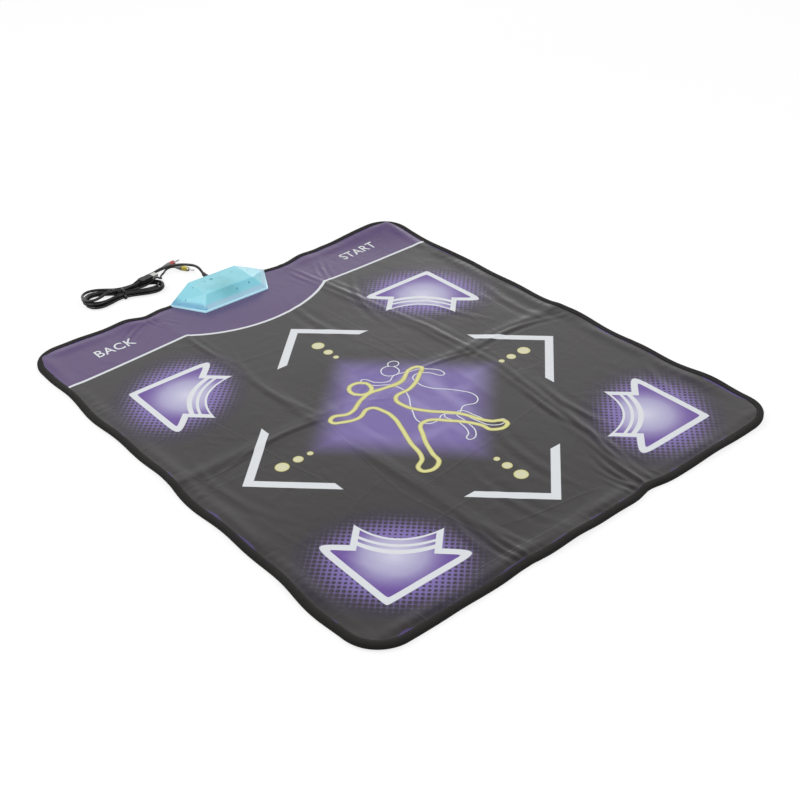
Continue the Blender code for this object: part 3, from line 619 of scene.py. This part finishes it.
# ink drift keeps the ground from being one flat tone
drift, tint = mottle(add, plan, 0.006, 2.0, ink["ground"], ink["groundPale"])
hazeInk = add("MixRGB", streak, colour(ink["haze"]), colour(ink["hazePale"]))
tint = add("MixRGB", haze, tint, hazeInk)
tint = add("MixRGB", glow, tint, colour(ink["halo"]))
screen = add("Math.MULTIPLY", screen, add("MapRange", reach, 116.0, 130.0, 0.95, 0.0))
tint = add("MixRGB", screen, tint, colour(ink["screen"]))
tint = add("MixRGB", arrow, tint, fill)
dotInk = add("MixRGB", dotRim, colour(ink["dot"]), colour(ink["dotRim"]))
for mask, printed in ((outline, colour(ink["line"])), (bracket, colour(ink["line"])), (dotMask, dotInk),
                      (header, colour(ink["header"])), (border, colour(ink["line"]))):
    tint = add("MixRGB", mask, tint, printed)

# the purple print runs a little past the ground colour beside the tape
rimmed = add("VectorMath.ABSOLUTE", plan)
rimmed = add("VectorMath.SUBTRACT", rimmed, (matShape["halfWidth"], matShape["halfLength"], 0))
rimmed = add("Math.SMOOTH_MAX", *add("SeparateXYZ", rimmed).node.outputs[:2], 40.0)
fray = add("TexNoise", plan, Scale=0.02, Detail=1.0)
fray = add("MapRange", fray, 0.50, 0.66, -10.6, -15.5)
rimmed = add("MapRange", add("Math.SUBTRACT", rimmed, fray), *softLine)
tint = add("MixRGB", rimmed, tint, colour(ink["rim"]))

emboss = add("TexVoronoi", plan, Scale=0.9)  # leather emboss, about 1 mm cells
slack = add("VectorMath.MULTIPLY", plan, (1.0, 0.55, 1.0))
pucker = add("TexNoise", slack, Scale=0.05, Detail=4.0, Roughness=0.5, Distortion=0.6)  # slack puckers, 20 mm
bump = add("Bump", Strength=0.10, Distance=0.0001, Height=emboss)
bump = add("Bump", Strength=0.17, Distance=0.0030, Height=pucker, Normal=bump)
# hard thin creases, mostly along and across the mat as it was folded
creaseMap = []
for stretch, seed in (((0.016, 0.0026, 1.0), 3.0), ((0.0028, 0.017, 1.0), 9.0)):
    run = add("VectorMath.MULTIPLY_ADD", plan, stretch, (0.0, 0.0, seed))
    line = add("TexNoise", run, Scale=1.0, Detail=0.6, Roughness=0.4)
    line = add("Math.ABSOLUTE", add("Math.SUBTRACT", line, 0.5))
    line = add("MapRange", line, 0.0, 0.03, 1.0, 0.0, interpolation_type="SMOOTHSTEP")
    patch = add("TexNoise", run, Scale=0.9, Detail=0.0)
    patch = add("MapRange", patch, 0.50, 0.66)
    creaseMap.append(add("Math.MULTIPLY", line, patch))
hard = add("Math.MAXIMUM", *creaseMap)
bump = add("Bump", Strength=0.16, Distance=0.0009, Height=hard, Normal=bump)
gloss = add("MapRange", drift, 0.3, 0.7, 0.21, 0.29)
shader = add("BsdfPrincipled", Base_Color=tint, Roughness=gloss, Normal=bump, IOR=1.52)
add("OutputMaterial", shader)
print("vinyl print ready")

# top sheet, press zones, core and base sheet
halfW, halfL = matShape["halfWidth"], matShape["halfLength"]
columns = sorted({round(v, 3) for zone in zones.values() for v in zone[:2]})
rows = sorted({round(v, 3) for zone in zones.values() for v in zone[2:]})


def inZone(x, y, slack=0.0):
    return any(w - slack < x < e + slack and s - slack < y < n + slack for w, e, s, n in zones.values())


def hangSkirt(bm, depth, slack):
    # turns a zone's open edges down, so that a pressed zone shows no gap
    edges = [e for e in bm.edges if e.is_boundary and all(inZone(v.co.x, v.co.y, slack) for v in e.verts)]
    made = bmesh.ops.extrude_edge_only(bm, edges=edges)
    for vert in newVerts(made):
        vert.co.z -= depth
    for edge in edges:
        edge.smooth = False


bm = layerGrid(-halfW, halfW, -halfL, halfL, matShape["cell"], matShape["coverTop"], columns, rows)
spare = []
for face in bm.faces:
    middle = face.calc_center_median()
    if rimInset(middle.x, middle.y) < 5.0 or inZone(middle.x, middle.y):
        spare.append(face)
bmesh.ops.delete(bm, geom=spare, context="FACES")
hangSkirt(bm, 2.4, 0.01)
topSheet = finishLayer("topSheet", bm, printedVinyl, 1.0)
fasten(topSheet, None, "printed_vinyl", "top_cover_back", "top_cover_front")
print("top sheet", len(topSheet.data.polygons), "faces")

for name, (west, east, south, north) in zones.items():
    bm = layerGrid(west + 0.05, east - 0.05, south + 0.05, north - 0.05, matShape["cell"], matShape["coverTop"])
    hangSkirt(bm, 1.2, 0.01)
    patch = finishLayer("press_" + name, bm, printedVinyl, 1.0)
    fasten(patch, name, "printed_vinyl", "panel_" + name, "contact_" + name)

# closed-cell foam between the sheets, hidden by the cover and the binding
foamLook, add = newMaterial("polyethyleneFoam")
place = add("TexCoord", out=3)
cells = add("TexVoronoi", place, Scale=700.0)
tint = add("MixRGB", cells, colour("#c9c8c2"), colour("#b2b1aa"))
bump = add("Bump", Strength=0.4, Distance=0.0003, Height=cells)
add("OutputMaterial", add("BsdfPrincipled", Base_Color=tint, Roughness=0.9, Normal=bump))

# base sheet: PVC with a pressed anti-slip pattern of small lozenges, 6 mm apart
baseLook, add = newMaterial("antiSlipVinyl")
plan = add("UVMap", uv_map="matPlan")
lattice = [add("VectorMath.DOT_PRODUCT", plan, (118.0, way * 118.0, 0), out=1) for way in (1, -1)]
cell = add("VectorMath.FRACTION", add("CombineXYZ", *lattice))
cell = add("VectorMath.DISTANCE", cell, (0.5, 0.5, 0), out=1)
stud = add("MapRange", cell, 0.20, 0.36, 1.0, 0.0)
tint = mottle(add, plan, 14.0, 3.0, "#1d1c1d", "#2b2a2b")[1]
bump = add("Bump", Strength=0.6, Distance=0.0005, Height=stud)
gloss = add("MapRange", stud, 0.0, 1.0, 0.62, 0.48)
add("OutputMaterial", add("BsdfPrincipled", Base_Color=tint, Roughness=gloss, Normal=bump))


def layerSlab(name, inset, cell, low, high, material, gap=None, window=None):
    # a closed slab of the mat's outline, drawn in by inset; window is the height of its top under the press zones
    bm = layerGrid(-halfW, halfW, -halfL, halfL, cell, high)
    spare = []
    for face in bm.faces:
        middle = face.calc_center_median()
        inGap = gap and gap[0] < middle.x < gap[1] and gap[2] < middle.y < gap[3]
        if rimInset(middle.x, middle.y) < inset or inGap:
            spare.append(face)
    bmesh.ops.delete(bm, geom=spare, context="FACES")
    top = bm.faces[:]
    made = bmesh.ops.extrude_face_region(bm, geom=top)
    bmesh.ops.translate(bm, verts=newVerts(made), vec=(0, 0, low - high))
    for vert in bm.verts:
        if window and vert.co.z > (low + high) / 2 and inZone(vert.co.x, vert.co.y, 6.0):
            vert.co.z = window
    bmesh.ops.recalc_face_normals(bm, faces=bm.faces)
    return finishLayer(name, bm, material)


clampLow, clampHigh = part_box("clamp_plate")
clampGap = (clampLow[0] / mm - 3, clampHigh[0] / mm + 3, clampLow[1] / mm - 3, clampHigh[1] / mm + 3)
foamCore = layerSlab("foamCore", 8.0, 5.0, 1.2, 5.0, foamLook, clampGap, window=2.6)
fasten(foamCore, None, "foam", "foam_pad_back", "foam_pad_front", "contact_film_back", "contact_film_front",
       "spacer_foam_back", "spacer_foam_front")
baseSheet = layerSlab("baseSheet", 5.0, 5.0, 0.0, 0.8, baseLook)
fasten(baseSheet, None, "base_sheet", "base_sheet_back", "base_sheet_front")

# grosgrain tape folded over the edge and sewn through with one row of lock stitches
tapeShape = {"step": 3.0, "rib": 2.4, "stitch": 3.4, "seamPoint": 6}
# inset and height round the folded tape, from the middle of its outer side over the top
tapeProfile = [
    (0.0, 4.0), (0.1, 5.8), (0.9, 7.3), (2.6, 8.05), (5.0, 8.2), (7.4, 8.1), (8.3, 7.85), (9.2, 8.0), (10.3, 7.85),
    (10.8, 7.5), (10.3, 7.12), (8.0, 7.05), (3.4, 6.95), (2.0, 5.8), (1.7, 4.0), (2.0, 2.2), (3.4, 1.05),
    (8.0, 0.95), (10.3, 0.95), (10.8, 0.5), (10.3, 0.06), (6.0, 0.03), (2.6, 0.1), (0.9, 0.8), (0.1, 2.2),
]


def rimAt(s):
    # a place on the mat's outline s mm along it from the front's west end, and the way out from it
    r = matShape["corner"]
    sides = ((halfW * 2 - 2 * r, (-halfW + r, -halfL), (1, 0)), (halfL * 2 - 2 * r, (halfW, -halfL + r), (0, 1)),
             (halfW * 2 - 2 * r, (halfW - r, halfL), (-1, 0)), (halfL * 2 - 2 * r, (-halfW, halfL - r), (0, -1)))
    for length, (x, y), (ax, ay) in sides:
        if s <= length:
            return (x + ax * s, y + ay * s), (ay, -ax)
        s -= length
        bend = math.pi / 2 * r
        if s <= bend:
            cx, cy = x + ax * length - ay * r, y + ay * length + ax * r
            turn = s / r
            out = (ay * math.cos(turn) + ax * math.sin(turn), -ax * math.cos(turn) + ay * math.sin(turn))
            return (cx + out[0] * r, cy + out[1] * r), out
        s -= bend
    return rimAt(0.0)


rimLength = 4 * (halfW + halfL) - 8 * matShape["corner"] + 2 * math.pi * matShape["corner"]
counts = (round(rimLength / tapeShape["step"]), len(tapeProfile))
bm = bmesh.new()
bmesh.ops.create_grid(bm, x_segments=counts[0], y_segments=counts[1], size=0.5)
tapeUv = bm.loops.layers.uv.new("tape")
matUv = bm.loops.layers.uv.new("matPlan")
around = [0.0]
for (a, b), (c, d) in zip(tapeProfile, tapeProfile[1:] + tapeProfile[:1]):
    around.append(around[-1] + math.hypot(c - a, d - b))
flat = {}
for vert in bm.verts:
    i, j = (round((vert.co[k] + 0.5) * counts[k]) for k in (0, 1))
    (x, y), out = rimAt(rimLength * i / counts[0])
    inset, z = tapeProfile[j % counts[1]]
    for loop in vert.link_loops:
        loop[tapeUv].uv = (rimLength * i / counts[0] * mm, around[j] * mm)
    flat[vert] = (x - out[0] * inset, y - out[1] * inset, z)
for vert, place in flat.items():
    vert.co = place
bmesh.ops.remove_doubles(bm, verts=bm.verts, dist=0.001)
bmesh.ops.recalc_face_normals(bm, faces=bm.faces)

bindingLook, add = newMaterial("grosgrainTape")  # woven polyester: matt charcoal ribs across the tape, sewn in black
along = add("UVMap", uv_map="tape")
run, across, _ = add("SeparateXYZ", along).node.outputs
rib = add("Math.MULTIPLY", run, 2 * math.pi / (tapeShape["rib"] * mm))
rib = add("MapRange", add("Math.SINE", rib), -1.0, 1.0)
fibre = add("TexNoise", along, Scale=1600.0, Detail=2.0)
seamAt = around[tapeShape["seamPoint"]] * mm
seam = add("Math.ABSOLUTE", add("Math.SUBTRACT", across, seamAt))
seam = add("MapRange", seam, 0.0004, 0.0008, 1.0, 0.0)
dash = add("Math.MULTIPLY", run, 1 / (tapeShape["stitch"] * mm))
dash = add("Math.FRACT", dash)
dash = add("Math.ABSOLUTE", add("Math.SUBTRACT", dash, 0.5))
dash = add("Math.MULTIPLY", add("MapRange", dash, 0.34, 0.42, 1.0, 0.0), seam)
tint = mottle(add, along, 38.0, 2.0, "#0f0e0e", "#1a1918")[1]
# painted highlight: the rib crests are painted lighter in step with the rib bump, and the black stitches are painted
# a lighter grey
tint = add("MixRGB", add("Math.MULTIPLY", rib, 0.35), tint, colour("#34312e"))
tint = add("MixRGB", dash, tint, colour("#34322f"))
height = add("Math.ADD", add("Math.MULTIPLY_ADD", rib, 0.3, fibre), dash)
bump = add("Bump", Strength=0.7, Distance=0.0004, Height=height)
shader = add("BsdfPrincipled", Base_Color=tint, Roughness=0.88, Sheen_Weight=0.06, Sheen_Roughness=0.5,
             Specular_IOR_Level=0.3, Normal=bump)
add("OutputMaterial", shader)

binding = newPiece("edgeTape", bm, bindingLook)
settleMesh(binding.data)
binding.data.shade_smooth()
fasten(binding, None, "binding_fabric", "edge_binding_back", "edge_binding_front")
print("binding", len(binding.data.polygons), "faces")

# the split sleeve where the main cord becomes three leads
bm = bmesh.new()
bmesh.ops.create_circle(bm, cap_ends=True, segments=28, radius=3.4)
bm.faces.ensure_lookup_table()
section = bm.faces[0]
for move, scale in ((2.0, 1.22), (7.0, 1.04), (6.0, 1.0), (2.5, 0.86)):
    made = bmesh.ops.extrude_face_region(bm, geom=[section])
    verts = newVerts(made)
    section = [g for g in made["geom"] if isinstance(g, bmesh.types.BMFace)][0]
    bmesh.ops.translate(bm, verts=verts, vec=(0, 0, move))
    centre = section.calc_center_median()
    bmesh.ops.scale(bm, verts=verts, vec=(scale, scale, 1), space=Matrix.Translation(-centre))
bmesh.ops.bevel(bm, geom=[e for e in bm.edges if abs(e.calc_face_angle(0)) > 0.5], offset=0.7, segments=3,
                profile=0.5, affect="EDGES", material=-1)
bmesh.ops.recalc_face_normals(bm, faces=bm.faces)
splitAt = Vector(hankPlace(-27.5, -1.6, 16.4))
run = Vector(hankPlace(-9.5, 0.0, 16.2)) - splitAt
aimed = run.to_track_quat("Z", "Y").to_matrix().to_4x4()
bmesh.ops.transform(bm, verts=bm.verts, matrix=Matrix.Translation(splitAt) @ aimed)
bmesh.ops.scale(bm, verts=bm.verts, vec=(mm, mm, mm))
splitSleeve = newPiece("splitSleeve", bm, cordLook)
splitSleeve.data.shade_smooth()
fasten(splitSleeve, "mat_back", "cord_jacket")
fasten(mainCord, "mat_back", "cord_jacket", "cord", "cord_hank")
for name, node, plug, length in (("powerLead", "power_lead", ["usb_grip", "usb_shell"], 0.052),
                                 ("audioLead", "audio_lead", ["audio_plug_grip", "audio_plug_pin"], 0.144),
                                 ("videoLead", "video_lead", ["video_plug_grip", "video_plug_pin"], 0.173)):
    lead = leads[name]
    fasten(lead, "mat_back", "cord_jacket", node)

# a narrow tie pulled round the middle of the hank: half width and height of its corners
corners = [(-12, 1.1), (0, 1.0), (12, 1.1), (17.4, 3.2), (17.4, 7.5), (13, 12.6), (4.5, 15), (-4.5, 15),
           (-13, 12.6), (-17.4, 7.5), (-17.4, 3.2)]
tieCurve = newCurve("hankTie", [[(y * mm, z * mm, 0) for y, z in corners]], closed=True, dimensions="2D",
                    fill_mode="NONE", extrude=1.7 * mm, bevel_depth=0.55 * mm, bevel_resolution=2)
hankTie = curveMesh("hankTie", tieCurve, cordLook)
hankTie.data.transform(Matrix(((0, 0, 1, 0), (1, 0, 0, 0), (0, 1, 0, 0), (0, 0, 0, 1))))
hankTie.data.transform(Matrix.Rotation(math.radians(cordShape["hankTurn"]), 4, "Z"))
hankTie.data.transform(Matrix.Translation(Vector((*cordShape["hankCentre"], 0.0)) * mm))
hankTie.data.shade_smooth()
fasten(hankTie, "mat_back", "tie", "cord_tie")

# tapered strain relief moulded on the cord at the back wall of the box: y, x, z and radius along it
reliefLine = [(484.2, -22, 22, 5.4), (484.5, -22, 22, 6.7), (486.2, -22, 22, 6.8), (486.7, -22, 22, 5.5),
              (489, -22, 22, 5.1), (491, -22, 22, 4.5), (493, -22, 22.0, 4.9), (495, -22, 22.05, 4.3),
              (497, -21.95, 22.1, 4.7), (499, -21.9, 22.2, 4.1), (501, -21.8, 22.3, 4.4), (503.5, -21.7, 22.4, 3.8),
              (506, -21.5, 22.9, 4.0), (508, -21.3, 23.4, 3.5), (509, -21.2, 23.6, 3.2)]
reliefCurve = bpy.data.curves.new("strainRelief", "CURVE")
reliefCurve.dimensions = "3D"
reliefCurve.bevel_depth = mm
reliefCurve.bevel_resolution = 5
reliefCurve.use_fill_caps = True
spline = reliefCurve.splines.new("POLY")
spline.points.add(len(reliefLine) - 1)
for knot, (y, x, z, radius) in zip(spline.points, reliefLine):
    knot.co = (x * mm, y * mm, z * mm, 1)
    knot.radius = radius

# injection moulded soft PVC, black with a fine grain
softBlack = plainMaterial("mouldedPvc", (120.0, 2.0), ("#171618", "#262528"), (0.36, 0.5), 0.15, (1400.0, 2.0))
relief = curveMesh("strainRelief", reliefCurve, softBlack)
fasten(relief, "mat_back", "black_plastic", "cord_grommet")


def copyNode(name, flatness=2.0):
    # a CAD node's mesh, merged and with its flat faces joined up
    bm = bmesh.new()
    bm.from_mesh(bpy.data.objects[name].data)
    bmesh.ops.remove_doubles(bm, verts=bm.verts, dist=0.00001)
    bmesh.ops.dissolve_limit(bm, angle_limit=math.radians(flatness), verts=bm.verts, edges=bm.edges)
    return bm


def softEdges(bm, width, angle=25.0, segments=3, longest=0.0):
    # with a length given, only the long outer edges up on the lid are rounded
    edges = [e for e in bm.edges if len(e.link_faces) == 2 and e.calc_face_angle(0) > math.radians(angle)]
    if longest:
        edges = [e for e in edges if e.is_convex and e.calc_length() > longest * mm
                 and max(v.co.z for v in e.verts) > 22 * mm]
    bmesh.ops.bevel(bm, geom=edges, offset=width * mm, segments=segments, profile=0.5, affect="EDGES",
                    material=-1, clamp_overlap=True)


def dress(material, *nodes):
    for node in nodes:
        for slot in bpy.data.objects[node].material_slots:
            slot.material = material


# tinted polycarbonate, injection moulded and milky: painted shade darkens its colour where the board and bosses
# inside would show through and at the low west end, painted light makes its low sides paler, and it has a faint
# painted glow
caseShape = {
    "bosses": [(-72, 462), (-44, 466), (14, 464), (44, 458), (66, 462), (58, 436), (20, 416), (-8, 414), (-98, 446)],
    "bossRadius": 2.3,
    "softEdge": 6.0,
}
casePlasticPaintedLight, add = newMaterial("tintedPolycarbonatePaintedLight")
place = add("TexCoord", out=3)
flow = add("TexNoise", place, Scale=300.0, Detail=2.0)
plan = add("VectorMath.MULTIPLY", place, (1000.0, 1000.0, 1000.0))
cloud, tint = mottle(add, plan, 0.035, 2.0, "#8fe2f8", "#a4f0ff")
x, y, z = add("SeparateXYZ", plan).node.outputs
level = add("CombineXYZ", x, y, 0.0)
# painted shade: a darker greenish cloud where the board inside would show through the wall
boardShade = add("VectorMath.DISTANCE", level, (-26.0, 430.0, 0.0), out=1)
boardShade = add("MapRange", add("Math.MULTIPLY_ADD", cloud, 34.0, boardShade), 22.0, 56.0, 0.55, 0.0,
            interpolation_type="SMOOTHSTEP")
tint = add("MixRGB", boardShade, tint, colour("#74c3cf"))
# painted shade: darker dots where the bosses inside would show through the wall
bossShade = 1.0
for place in caseShape["bosses"]:
    near = add("VectorMath.DISTANCE", level, (*place, 0.0), out=1)
    near = add("MapRange", near, caseShape["bossRadius"] * 0.4, caseShape["bossRadius"], 0.0, 1.0)
    bossShade = add("Math.MINIMUM", bossShade, near)
tint = add("MixRGB", bossShade, colour("#58abc6"), tint)
# painted shade darkens the low west end, and painted light makes the low sides paler
low = add("MapRange", z, 14.5, 20.5, 1.0, 0.0, interpolation_type="SMOOTHSTEP")
for west, share, code in ((-82.0, (0.75, 0.0), "#4391bf"), (-84.0, (0.0, 0.6), "#c6dcf4")):
    along = add("MapRange", x, west, -76.0, *share)
    tint = add("MixRGB", add("Math.MULTIPLY", low, along), tint, colour(code))
gloss = add("MapRange", flow, 0.3, 0.7, 0.12, 0.18)
bump = add("Bump", Strength=0.08, Distance=0.0003, Height=flow)
# a faint painted glow: the tint is also given out as emission
shader = add("BsdfPrincipled", Base_Color=tint, Roughness=gloss, Normal=bump, IOR=1.5, Transmission_Weight=0.12,
             Subsurface_Weight=0.5, Subsurface_Radius=(0.4, 0.9, 1.0), Subsurface_Scale=0.012, Emission_Color=tint,
             Emission_Strength=0.05)
add("OutputMaterial", shader)

# the same plastic thick and opaque enough to scatter, for the base plate; a painted glow makes its edge show as a
# pale line
milkyPlasticPaintedGlow = plainMaterial("milkyPolycarbonatePaintedGlow", (40.0, 3.0), ("#b5e6f4", "#c8eef8"), 0.24, glow=0.25, IOR=1.5)

for name, width, look in (("case_top", 0.7, casePlasticPaintedLight), ("case_base", 0.4, milkyPlasticPaintedGlow)):
    bm = copyNode(name)
    if name == "case_top":
        softEdges(bm, caseShape["softEdge"], angle=12.0, segments=8, longest=20.0)
    softEdges(bm, width)
    made = newPiece(name + "Shell", bm, look)
    made.data.shade_flat()
    fasten(made, "mat_back", "case_plastic", name)
    print(made.name, len(made.data.polygons), "faces")

# glass-fibre board with a green mask, its tracks 1.6 mm apart
boardLook, add = newMaterial("solderMaskBoard")
place = add("TexCoord", out=3)
tracks = add("TexBrick", place, Scale=160.0, Color1=colour("#1f6a44"), Color2=colour("#2b8053"),
             Mortar=colour("#6fae7c"), Mortar_Size=0.035)
add("OutputMaterial", add("BsdfPrincipled", Base_Color=tracks, Roughness=0.42))
# drawn steel with a nickel plate, finely scratched
nickel = plainMaterial("nickelPlate", (900.0, 3.0), ("#c3c1bb", "#dbd9d3"), (0.2, 0.34), Metallic=1.0)
plastics = {}
for name, pin, low, high in (("redPvc", "audio_plug_pin", "#c05a5c", "#cc6a6a"),
                             ("yellowPvc", "video_plug_pin", "#e0cb3c", "#ecd958")):
    plastics[name], add = newMaterial(name)  # dyed moulded PVC: even colour with a faint mottling
    place = add("TexCoord", out=3)
    speckle, tint = mottle(add, place, 260.0, 2.0, low, high)
    nearest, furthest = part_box(pin)
    reach = add("VectorMath.DISTANCE", place, tuple((nearest[k] + furthest[k]) / 2 for k in range(3)), out=1)
    tint = add("MixRGB", add("MapRange", reach, 0.017, 0.019), tint, colour("#8b8884"))
    bump = add("Bump", Strength=0.1, Distance=0.0002, Height=speckle)
    add("OutputMaterial", add("BsdfPrincipled", Base_Color=tint, Roughness=0.38, Normal=bump))

dress(boardLook, "circuit_board")
dress(softBlack, "controller_blob", "capacitor_1", "capacitor_2", "memory_chip", "tail_clamp", "usb_grip")
dress(nickel, "crystal", "status_led", "case_screw", "tail_screw_1", "tail_screw_2", "usb_shell", "audio_plug_pin",
      "video_plug_pin", *[f"clamp_screw_{i}" for i in range(1, 5)])
dress(plastics["redPvc"], "audio_plug_grip")
dress(plastics["yellowPvc"], "video_plug_grip")
dress(casePlasticPaintedLight, "clamp_plate", "film_tail")
print("box dressed")


def drape(name, bm, material, lift, cell=4):
    # cuts a flat shape along a grid of this cell in mm and lays it on the top sheet
    for axis in (0, 1):
        places = [v.co[axis] for v in bm.verts]
        for step in range(math.ceil(min(places) / cell), math.floor(max(places) / cell) + 1):
            bmesh.ops.bisect_plane(bm, geom=bm.verts[:] + bm.edges[:] + bm.faces[:], dist=0.001,
                                   plane_co=(step * cell, step * cell, 0), plane_no=(1 - axis, axis, 0))
    bmesh.ops.recalc_face_normals(bm, faces=bm.faces)
    for face in bm.faces:
        if face.normal.z < 0:
            face.normal_flip()
    for vert in bm.verts:
        vert.co.z = matShape["coverTop"] + lift
    return finishLayer(name, bm, material, 1.0)


# screen ink on vinyl: slightly uneven cover, and the sheen of the sheet
inkTones = {"white": ("#dfe3e8", "#eef1f4"), "yellow": ("#dedb86", "#eceaa6"), "gold": ("#b8b168", "#c6be74")}
screenInk = {name: plainMaterial(name + "Ink", (160.0, 2.0), tones, 0.42, 0.1, uv="matPlan")
             for name, tones in inkTones.items()}

words = {"BACK": ("back_key", (-267.0, 402.0), 73.0, 23.5), "START": ("start_key", (268.0, 410.0), 80.0, 23.5)}
for word, (body, (x, y), width, height) in words.items():
    text = bpy.data.curves.new("word" + word, "FONT")
    text.body = word
    text.size = 36.0
    text.offset = 0.35
    text.space_character = 1.08
    bm = takeShape(curveMesh("flat" + word, text))
    low = [min(v.co[k] for v in bm.verts) for k in (0, 1)]
    high = [max(v.co[k] for v in bm.verts) for k in (0, 1)]
    bmesh.ops.translate(bm, verts=bm.verts, vec=(-(low[0] + high[0]) / 2, -(low[1] + high[1]) / 2, 0))
    bmesh.ops.scale(bm, verts=bm.verts, vec=(width / (high[0] - low[0]), height / (high[1] - low[1]), 1))
    bmesh.ops.translate(bm, verts=bm.verts, vec=(x, y, 0))
    decal = drape("word" + word, bm, screenInk["white"], 0.3)
    fasten(decal, body, "printed_vinyl")

# two plain dancing figures drawn as outlines, places in mm from the figures' own middle
figures = {
    "bold": [  # head, body
        [(-28, 127), (-13, 119), (-11, 103), (-22, 90), (-37, 92), (-45, 106), (-41, 121)],
        [(-33, 86), (-50, 80), (-84, 64), (-112, 72), (-120, 62), (-108, 52), (-82, 44), (-50, 54), (-40, 34),
         (-40, 8), (-48, -18), (-64, -60), (-78, -104), (-98, -120), (-94, -132), (-66, -128), (-58, -104),
         (-38, -60), (-14, -32), (20, -58), (46, -98), (50, -118), (76, -124), (80, -113), (64, -100), (42, -50),
         (8, -8), (-6, 22), (-2, 50), (34, 56), (72, 78), (86, 92), (74, 100), (34, 80), (-4, 84), (-18, 87)],
    ],
    "thin": [  # head, hair, body, legs
        [(40, 133), (52, 128), (56, 116), (50, 105), (38, 103), (28, 111), (28, 124)],
        [(50, 133), (60, 140), (69, 133), (64, 124), (54, 126)],
        [(36, 102), (20, 94), (2, 108), (-8, 128), (-14, 124), (-4, 100), (16, 82), (22, 60), (16, 40), (-4, 8),
         (-16, -34), (4, -44), (22, -36), (42, -50), (62, -40), (84, -46), (96, -30), (82, 4), (56, 38), (52, 60),
         (60, 80), (84, 72), (98, 50), (104, 54), (92, 80), (64, 94), (46, 101)],
        [(24, -38), (26, -70), (18, -100), (6, -110), (10, -116), (26, -108), (36, -72), (40, -48), (48, -46),
         (58, -74), (66, -104), (82, -108), (82, -114), (62, -113), (48, -76), (44, -50)],
    ],
}
figureAt = (-8.0, -96.0)


def outlineDecal(name, loops, material, width, lift):
    # closed smooth outlines as flat ribbons
    lines = [[(x + figureAt[0], y + figureAt[1], 0) for x, y in loop] for loop in loops]
    curve = newCurve(name, lines, closed=True, dimensions="3D", bevel_depth=width, bevel_resolution=1, resolution_u=6)
    bm = takeShape(curveMesh(name + "Tube", curve))
    bmesh.ops.delete(bm, geom=[f for f in bm.faces if f.normal.z < 0.02], context="FACES")
    fasten(drape(name, bm, material, lift), None, "printed_vinyl")


outlineDecal("thinDancer", figures["thin"], screenInk["white"], 1.0, 0.10)
outlineDecal("dancerEdge", figures["bold"], screenInk["gold"], 3.9, 0.14)
outlineDecal("boldDancer", figures["bold"], screenInk["yellow"], 2.6, 0.18)
print("words and figures laid")
